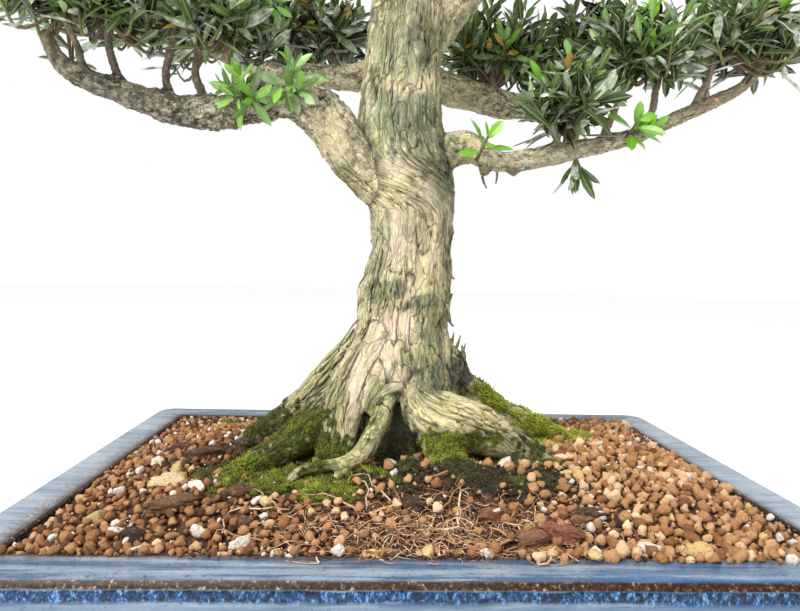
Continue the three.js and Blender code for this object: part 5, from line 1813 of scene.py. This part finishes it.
class BONSAI_OT_moss(bpy.types.Operator):
    """Sets tufts of moss on the soil and the roots, and lays fine roots over the front of the soil"""

    bl_idname = "bonsai.moss"
    bl_label = "Moss and fine roots"

    def execute(self, context):
        random = np.random.default_rng(9)
        points, faces, values = tuft_template()
        seats, ups, bright = self.soil_seats(random)
        wood = bpy.data.objects["tree_trunk"]
        wood_seats, wood_ups, wood_bright = self.wood_seats(random, wood)
        seats = np.vstack([seats, wood_seats])
        ups = unit(np.vstack([ups, wood_ups]) + random.normal(0, 0.15, (len(seats), 3)))
        bright = np.concatenate([bright, wood_bright])
        side = unit(np.cross(ups, random.normal(size=(len(seats), 3))))
        turns = np.stack([side, np.cross(ups, side), ups], axis=2)
        size = random.uniform(1.0, 2.0, len(seats)) * (0.7 + 0.8 * bright) * (1 + 0.5 * noise(seats / 7, 93))
        matrices = placements(turns, np.repeat(size[:, None], 3, axis=1), seats)
        bright = np.clip(bright + 0.3 * noise(seats / 6, 94) + random.normal(0, 0.1, len(seats)), 0, 1)
        attributes = {"bright": repeated(bright, len(points)), "tip": np.tile(values["tip"], len(seats))}
        tufts = mesh_object("moss_tufts", *stamped((points, faces), matrices), attributes)
        settle(tufts, moss_material())
        settle(self.fine_roots(random), self.root_material())
        return {"FINISHED"}

    def soil_seats(self, random):
        """Places for tufts on the ground."""
        spots = random.uniform(-1, 1, (SOIL_TUFTS, 2)) * (POT_HALF - RIM_WIDTH - 2)
        strength, bright = mossiness(spots[:, 0], spots[:, 1])
        keep = strength > random.uniform(0.35, 1, len(spots))
        seats = on_soil(spots[keep, 0], spots[keep, 1], 0.2)
        clear = WOOD.clearance(seats) > -2
        seats = seats[clear]
        return seats, np.tile([0.0, 0, 1], (len(seats), 1)), bright[keep][clear]

    def wood_seats(self, random, wood):
        """Places for tufts on the roots, where the bark is mossy."""
        count = len(wood.data.vertices)
        moss, bright = np.zeros(count, np.float32), np.zeros(count, np.float32)
        wood.data.attributes["moss"].data.foreach_get("value", moss)
        wood.data.attributes["bright"].data.foreach_get("value", bright)
        points, normals = points_of(wood), normals_of(wood)
        keep = moss > random.uniform(0.35, 1.1, count)
        above = points[:, 2] > mound_height(points[:, 0], points[:, 1]) - 1
        rows = np.where(keep & above)[0]
        rows = random.permutation(rows)[:WOOD_TUFTS]
        return points[rows], normals[rows], bright[rows].astype(float)

    def fine_roots(self, random):
        """Thin crooked roots that lie over one another on the soil in front."""
        paths = []
        for k in range(FINE_ROOTS):
            main = k < THICK_ROOTS
            x, y = random.normal(4, 52), random.normal(-131, 13)
            heading = random.uniform(-0.8, 0.8) + (math.pi if random.random() < 0.5 else 0)
            length, radius = (random.uniform(26, 60), random.uniform(0.55, 0.95)) if main else (
                random.uniform(6, 24), random.uniform(0.16, 0.34))
            count = 8 if main else 5
            steps = []
            for i in range(count):
                heading += random.normal(0, 0.5)
                x += math.cos(heading) * length / count
                y += math.sin(heading) * length / count
                steps.append((x, min(max(y, -POT_HALF[1] + 17), -84), radius * (1 - 0.6 * i / count)))
            steps = np.array(steps)
            seat = on_soil(steps[:, 0], steps[:, 1], 0)
            lift = random.uniform(0.2, 2.0)
            wave = 0.9 * np.sin(np.linspace(0, math.pi * random.uniform(1, 3), count))
            seat[:, 2] += np.maximum(lift + wave, 0.5)
            paths.append(np.column_stack([seat, steps[:, 2]]))
        points, faces, values = tubes(paths, 3)
        values["tone"] = np.concatenate([np.full(len(path) * 3 + 2, random.random()) for path in paths])
        return mesh_object("fine_roots", points, faces, values)

    def root_material(self):
        """Dry fine roots, tan to dark brown."""
        look = Look("fine_roots")
        place = look.place()
        normal, mask = look.relief(place, 700, 0.0004)
        tone = look.plus(look.attribute("tone"), look.minus(mask, 0.5))
        colour = look.ramp(tone, [
            (0.0, srgb(92, 56, 34)), (0.35, srgb(160, 112, 76)), (0.7, srgb(218, 174, 132)),
            (1.0, srgb(244, 214, 180))])
        return look.finished(colour, 0.85, normal)


# The leaves

class LeafSettings(bpy.types.PropertyGroup):
    """The leaves' size and colours."""

    length: length_prop("Leaf length", "Length of a full-grown leaf", 24)
    width: length_prop("Leaf width", "Width of a full-grown leaf", 6.2)
    # The old leaf colour stands partly for the old inner leaves' own colour and partly for painted shade
    # inside the heads.
    dark: colour_prop("Old leaf", "Colour of the old inner leaves", srgb(22, 36, 12))
    green: colour_prop("Leaf", "Colour of the grown leaves", srgb(72, 98, 40))
    young: colour_prop("Young leaf", "Colour of the new leaves", srgb(112, 172, 30))
    shoots: IntProperty(name="Shoots", description="Outer shoots on a head of middle size", default=40, min=1)


HEADS = (
    "left_outer", "left_inner", "left_back", "left_far", "right_outer", "right_middle", "right_inner",
    "right_back", "right_far", "upper_left", "upper_right", "upper_back", "upper_front", "crown",
)
# How far the leaves of a head rise above its solid.
HEAD_RISE = {"right_back": 12, "left_back": 10, "right_far": 6}
HEAD_UNDERSIDE = 0.6
# For the count of shoots: the power in a head's mean section, and the section of a head of middle size.
SECTION_POWER = 1.6
MIDDLE_HEAD = 2400
# The length of stem for each leaf.
LEAF_GAP = 2.1
# The turn from each leaf to the next round its stem, in radians.
LEAF_TURN = 2.39996

# Young shoots: node, foot on the bark, leaves on a stem, a leaf's length and width, tint and stems' ways.
YOUNG_SHOOTS = [
    ("young_shoot_left", (-119, -29, 382), 8, 20, 6.6, 0.74,
     ((-0.25, -0.75, 0.6), (-0.5, -0.8, -0.3), (0.35, -0.85, -0.35), (-0.9, -0.5, 0.15))),
    ("young_shoot_bend", (-93, -30, 388), 8, 20, 6.4, 0.68,
     ((0.3, -0.8, 0.5), (0.5, -0.8, -0.35), (-0.1, -0.9, -0.2))),
    ("young_shoot_collar", (39, -25, 347), 6, 20, 8, 0.98, ((0.25, -0.7, 0.65),)),
    ("young_shoot_right", (146, -19, 365), 7, 20, 8, 0.95, ((0.1, -0.85, 0.45), (0.7, -0.6, 0.2))),
    ("hanging_spray", (112, -12, 350), 4, 23, 5.75, 0.42,
     ((0.05, -0.2, -1), (-0.35, -0.2, -0.9), (0.4, -0.2, -0.9))),
]
SHOOT_STEM = 15


def leaf_template():
    """One leaf: a thin four-sided spindle with its midrib raised and its margins lifted.

    Its points are the share along it, the share across it and the share of its thickness.
    """
    bpy.ops.mesh.primitive_uv_sphere_add(segments=4, ring_count=4, radius=0.5)
    leaf = bpy.context.object
    bpy.ops.object.mode_set(mode="EDIT")
    bpy.ops.mesh.select_all(action="SELECT")
    bpy.ops.transform.translate(value=(0, 0, 0.5))
    bpy.ops.object.mode_set(mode="OBJECT")
    points, faces = template(leaf)
    along = points[:, 2]
    ring = np.round(along * 4).astype(int)
    place = np.array([0, 0.24, 0.56, 0.84, 1.0])[ring]
    width = np.array([0.0, 0.62, 1.0, 0.66, 0.0])[ring]
    way = unit(np.where(np.abs(points[:, :2]) > 1e-4, points[:, :2], 0))
    across, thick = way[:, 0] * width, way[:, 1] * width
    return np.column_stack([place, across, thick]), faces


def leaf_lot(leaf, rows):
    """Leaves stamped from rows of root, direction, face, length, width, curl, tint and a random share."""
    points, faces = leaf
    root, direction, face = rows[:, 0:3], unit(rows[:, 3:6]), rows[:, 6:9]
    length, width, curl, tint = rows[:, 9], rows[:, 10], rows[:, 11], rows[:, 12]
    side = unit(np.cross(direction, face))
    lift = np.cross(side, direction)
    t, u, h = points.T
    forward = length[:, None] * t
    across = 0.5 * width[:, None] * u
    fold = 0.13 * width[:, None] * np.abs(u)
    up = 0.3 * h + fold - curl[:, None] * length[:, None] * t * t
    placed = root[:, None] + direction[:, None] * forward[..., None]
    placed = placed + side[:, None] * across[..., None] + lift[:, None] * up[..., None]
    shifts = np.arange(len(rows))[:, None, None] * len(points)
    attributes = {
        "tint": repeated(tint, len(points)),
        "across": np.tile(np.abs(u), len(rows)),
        "along": np.tile(t, len(rows)),
        "random": repeated(rows[:, 13], len(points)),
    }
    return placed.reshape(-1, 3), (faces[None] + shifts).reshape(-1, 3), attributes


def shoot_leaves(random, base, axis, length, count, size, tint, spread=(1.25, 0.5)):
    """Leaves set spirally up one shoot, wide below and closing at its tip."""
    sideways = unit(np.cross(axis, (0.31, 0.12, 0.94)))
    other = np.cross(axis, sideways)
    start = random.uniform(0, 2 * math.pi)
    rows = []
    for i in range(count):
        share = (i + 0.5) / count
        turn = start + i * LEAF_TURN
        outward = math.cos(turn) * sideways + math.sin(turn) * other
        lean = spread[0] + (spread[1] - spread[0]) * share + random.normal(0, 0.17)
        direction = math.cos(lean) * axis + math.sin(lean) * outward
        face = math.sin(lean) * axis - math.cos(lean) * outward
        face = unit(face + 0.25 * random.normal(size=3))
        grown = (0.72 + 0.4 * math.sin(math.pi * min(share + 0.22, 1))) * random.uniform(0.75, 1.15)
        root = base + axis * length * share + outward * 0.8
        shade = tint + 0.28 * share ** 3 + random.normal(0, 0.07)
        width = size[1] * (0.6 + 0.4 * grown) * random.uniform(0.85, 1.1)
        curl = random.uniform(-0.04, 0.22)
        rows.append([*root, *direction, *face, size[0] * grown, width, curl, shade, random.random()])
    return rows


def head_shoots(random, low, high, outer):
    """Shoots over a head: rows of base, axis, length, leaves and tint, from its tips inwards."""
    half = (high - low) / 2
    middle = (low + high) / 2 + (0, 0, half[2] * (1 / (1 + HEAD_UNDERSIDE) - 0.5))
    sections = half * np.roll(half, 1)
    count = int(outer * np.mean(sections ** SECTION_POWER) ** (1 / SECTION_POWER) / MIDDLE_HEAD)
    golden = math.pi * (3 - math.sqrt(5))
    found = []
    for layer, share in ((0.93, 1.0), (0.6, 0.42)):
        number = int(count * share)
        for i in range(number):
            height = 0.97 - 1.75 * (i + 0.5) / number
            around = i * golden + layer * 9 + random.normal(0, 0.12)
            flat = math.sqrt(max(1 - height * height, 0))
            ray = np.array([flat * math.cos(around), flat * math.sin(around), height])
            droop = HEAD_UNDERSIDE if height < 0 else 1.0
            reach = layer * random.uniform(0.84, 1.03) - 0.02 + 0.2 * (random.random() < 0.14)
            tip = middle + ray * half * (1.05, 1.05, droop * 1.1) * reach
            rise = (0, 0, 0.75 if height > -0.1 else 0.25)
            axis = unit(ray / half * half.min() + rise + 0.22 * random.normal(size=3))
            length = random.uniform(20, 36) * (1 if layer > 0.9 else 0.85)
            # Shoots of the inner layer get a lower tint: partly older, darker leaves and partly painted shade
            # inside the head.
            tint = 0.34 + 0.16 * height + random.normal(0, 0.07) - (0.26 if layer < 0.9 else 0)
            tint += 0.34 * (random.random() < 0.15)
            found.append((tip - axis * (length + 11), axis, length, int(length / LEAF_GAP), tint))
    return middle, found


def leaf_material(settings):
    """Leathery leaves: dark to bright by tint, with a pale midrib, pale patches that are partly dust bloom
    and partly painted sheen, and a few yellow ones.
    """
    look = Look("leaves")
    place = look.place()
    tint = look.attribute("tint")
    base = look.ramp(tint, [
        (0.0, srgb(12, 20, 8)), (0.25, settings.dark), (0.5, settings.green),
        (0.78, srgb(116, 156, 78)), (1.0, settings.young)])
    own = look.attribute("random")
    # Pale patches, partly a dusty bloom on the leaves and partly painted sheen.
    dust_and_sheen = look.ramp(look.noise(place, 130, 4, 0.6), [(0.4, 0.15), (0.58, 1.0)])
    bloom_and_sheen = look.times(look.ramp(own, [(0.58, 0.04), (0.8, 1.0)]), dust_and_sheen)
    old = look.ramp(tint, [(0.55, 1.0), (0.75, 0.3)])
    base = look.mixed(look.times(bloom_and_sheen, look.scaled(old, 0.92)), base, srgb(216, 222, 204))
    odd = look.ramp(own, [(0.985, 0.0), (0.99, 1.0)])
    base = look.mixed(odd, base, srgb(196, 148, 48))
    rib = look.ramp(look.attribute("across"), [(0.06, 0.5), (0.2, 0.0)])
    base = look.mixed(rib, base, srgb(160, 178, 112))
    return look.finished(base, 0.26, look.relief(place, 600, 0.00025)[0])


def stem_material():
    """Green-brown stems of the shoots."""
    look = Look("shoot_stems")
    place = look.place()
    normal, mask = look.relief(place, 500, 0.0005)
    green = look.ramp(mask, [(0.3, srgb(78, 84, 44)), (0.7, srgb(122, 130, 66))])
    brown = look.ramp(mask, [(0.3, srgb(64, 48, 38)), (0.7, srgb(132, 108, 86))])
    colour = look.mixed(look.ramp(look.attribute("along"), [(0.35, 0.0), (0.7, 1.0)]), brown, green)
    return look.finished(colour, 0.7, normal)


class BONSAI_OT_foliage(bpy.types.Operator):
    """Fills each leaf head and each young shoot with spirally set leaves on their stems"""

    bl_idname = "bonsai.foliage"
    bl_label = "Foliage"

    def execute(self, context):
        settings = context.scene.bonsai_leaf
        random = np.random.default_rng(21)
        leaf = leaf_template()
        green = leaf_material(settings)
        size = (settings.length / MM, settings.width / MM)
        stems = []
        carriers = WOOD.points[WOOD.starts[1 + len(ROOTS)]:]
        for name in HEADS:
            node_name = "leaf_head_" + name
            low, high = ((np.array(corner) - ORIGIN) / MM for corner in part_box(node_name))
            middle, shoots = head_shoots(random, low, high + (0, 0, HEAD_RISE.get(name, 0)), settings.shoots)
            near = carriers[(np.abs(carriers - middle) < (high - low) * 0.6).all(1)]
            raised = near[:, 2] > middle[2] - 0.22 * (high - low)[2]
            near = near[raised] if raised.any() else near
            rows = []
            for base, axis, length, leaves, tint in shoots:
                rows += shoot_leaves(random, base, axis, length, leaves, size, tint)
                stems.append(self.stem(near, base, axis, length))
            piece = mesh_object("foliage_" + name, *leaf_lot(leaf, np.array(rows)), smooth=False)
            settle(piece, green, [node_name])
        for name, foot, leaves, length, width, tint, ways in YOUNG_SHOOTS:
            rows = []
            for way in ways:
                axis = unit(way)
                reach = 5 if name == "hanging_spray" else SHOOT_STEM
                base = np.array(foot, float) + axis * 3
                spread = (0.8, 0.2) if name == "hanging_spray" else (1.4, 0.5)
                rows += shoot_leaves(random, base, axis, reach, leaves, (length, width), tint, spread)
                line = np.array(foot, float) + axis * np.linspace(-4, reach + 2, 6)[:, None]
                stems.append(np.column_stack([line, np.linspace(1.6, 0.9, 6)]))
            rows = np.array(rows)
            rows[:, 13] *= 0.92 if tint < 0.8 else 0.6
            settle(mesh_object("leaves_" + name, *leaf_lot(leaf, rows), smooth=False), green, [name])
        settle(mesh_object("shoot_stems", *tubes(stems, 4)), stem_material())
        return {"FINISHED"}

    def stem(self, near, base, axis, length):
        """A thin twig from the nearest wood to a shoot's base, and on up to its tip."""
        tip = base + axis * length
        if len(near):
            start = near[np.linalg.norm(near - (base - axis * 18 - (0, 0, 14)), axis=1).argmin()]
        else:
            start = base - axis * 20
        t = np.linspace(0, 1, 6)[:, None]
        pull = base - axis * 0.35 * np.linalg.norm(base - start)
        feed = (1 - t) ** 2 * start + 2 * t * (1 - t) * pull + t * t * base
        line = np.vstack([feed, (base + tip) / 2, tip])
        radii = np.r_[np.linspace(1.5, 1.1, 6), 0.9, 0.6]
        return np.column_stack([line, radii])


# The stage

class StageSettings(bpy.types.PropertyGroup):
    """The light and the floor."""

    floor: colour_prop("Floor", "Colour of the floor", (0.9, 0.9, 0.9, 1))
    sky: FloatProperty(name="Sky", description="Strength of the light from all round", default=0.62, min=0)
    key: FloatProperty(
        name="Key light", description="Power of the large soft light", default=46, unit="POWER", min=0)


# The camera's place in millimetres, its turn, tip and roll in degrees, and its lens.
CAMERA_PLACE = (-29.23, -463.4, 264.79)
CAMERA_TURN = (2.056, -3.088, 1.338)
CAMERA_LENS = 27.99


def camera_matrix():
    """Where the camera stands, and how it is turned, tipped and rolled."""
    turn, tip, roll = (math.radians(angle) for angle in CAMERA_TURN)
    ahead = Vector((math.sin(turn) * math.cos(tip), math.cos(turn) * math.cos(tip), math.sin(tip)))
    right = ahead.cross(Vector((0, 0, 1))).normalized()
    up = right.cross(ahead)
    rolled = right * math.cos(roll) + up * math.sin(roll)
    upright = up * math.cos(roll) - right * math.sin(roll)
    matrix = Matrix((rolled, upright, -ahead)).transposed().to_4x4()
    matrix.translation = metres(CAMERA_PLACE)
    return matrix


def floor_material(settings):
    """A pale floor with a little light of its own, so that it meets the backdrop without an edge."""
    look = Look("floor")
    look.shader["Emission Color"].default_value = (1, 1, 1, 1)
    look.shader["Emission Strength"].default_value = 0.4
    shade = look.noise(look.place(), 3, 2)
    return look.finished(look.mixed(shade, settings.floor, (0.92, 0.92, 0.92, 1)), 0.9)


class BONSAI_OT_stage(bpy.types.Operator):
    """Sets up the floor, the soft light and the camera"""

    bl_idname = "bonsai.stage"
    bl_label = "Stage"

    def execute(self, context):
        settings = context.scene.bonsai_stage
        scene = context.scene
        bpy.ops.object.select_all(action="DESELECT")
        bpy.ops.mesh.primitive_circle_add(vertices=96, radius=9, fill_type="NGON", location=(0, 0, -0.0005))
        floor = bpy.context.object
        floor.name = "floor"
        floor.data.materials.append(floor_material(settings))
        world = bpy.data.worlds.new("studio")
        world.use_nodes = True
        sky = Nodes(world.node_tree)
        backdrop = world.node_tree.nodes["Background"]
        sky.put((1, 1, 1, 1), backdrop.inputs["Color"])
        seen = sky.node("LightPath").outputs["Is Camera Ray"]
        shares = {0: seen, 1: 1 - settings.sky, 2: settings.sky}
        sky.put(sky.node("Math", shares, operation="MULTIPLY_ADD").outputs[0], backdrop.inputs["Strength"])
        scene.world = world
        self.light("key_light", (-0.9, -1.1, 1.5), (0, 0, 0.25), 1.1, settings.key)
        self.light("rim_light", (1.4, 0.7, 1.3), (0, 0, 0.3), 1.2, settings.key * 0.35)
        camera = bpy.data.objects.new("camera", bpy.data.cameras.new("camera"))
        scene.collection.objects.link(camera)
        camera.matrix_world = camera_matrix()
        camera.data.lens = CAMERA_LENS
        camera.data.clip_end = 100
        scene.camera = camera
        scene.view_settings.view_transform = "Standard"
        return {"FINISHED"}

    def light(self, name, place, aim, size, power):
        """A square soft light that points at a place."""
        light = bpy.data.lights.new(name, "AREA")
        light.size = size
        light.energy = power
        lamp = bpy.data.objects.new(name, light)
        bpy.context.scene.collection.objects.link(lamp)
        lamp.location = place
        lamp.rotation_euler = (Vector(aim) - Vector(place)).to_track_quat("-Z", "Y").to_euler()


class BONSAI_PT_panel(bpy.types.Panel):
    """Lists the bonsai's pieces and their sizes and colours"""

    bl_label = "Bonsai"
    bl_idname = "BONSAI_PT_panel"
    bl_space_type = "VIEW_3D"
    bl_region_type = "UI"
    bl_category = "Bonsai"

    def draw(self, context):
        for settings, operators in PANEL:
            box = self.layout.box()
            group = getattr(context.scene, settings)
            for name in group.__annotations__:
                box.prop(group, name)
            for operator in operators:
                box.operator(operator)


PANEL = (
    ("bonsai_pot", ("bonsai.pot",)),
    ("bonsai_soil", ("bonsai.soil", "bonsai.moss")),
    ("bonsai_tree", ("bonsai.tree",)),
    ("bonsai_leaf", ("bonsai.foliage",)),
    ("bonsai_stage", ("bonsai.stage",)),
)
GROUPS = {
    "bonsai_pot": PotSettings, "bonsai_soil": SoilSettings, "bonsai_tree": TreeSettings,
    "bonsai_leaf": LeafSettings, "bonsai_stage": StageSettings,
}
CLASSES = (
    *GROUPS.values(), BONSAI_OT_pot, BONSAI_OT_soil, BONSAI_OT_tree, BONSAI_OT_moss, BONSAI_OT_foliage,
    BONSAI_OT_stage, BONSAI_PT_panel,
)


def register():
    for made in CLASSES:
        bpy.utils.register_class(made)
    for name, group in GROUPS.items():
        setattr(bpy.types.Scene, name, PointerProperty(type=group))


def unregister():
    for name in GROUPS:
        delattr(bpy.types.Scene, name)
    for made in reversed(CLASSES):
        bpy.utils.unregister_class(made)


def main():
    register()
    bpy.ops.bonsai.stage()
    bpy.ops.bonsai.pot()
    bpy.ops.bonsai.soil()
    bpy.ops.bonsai.tree()
    bpy.ops.bonsai.moss()
    bpy.ops.bonsai.foliage()
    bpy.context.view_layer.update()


if __name__ == "__main__":
    main()
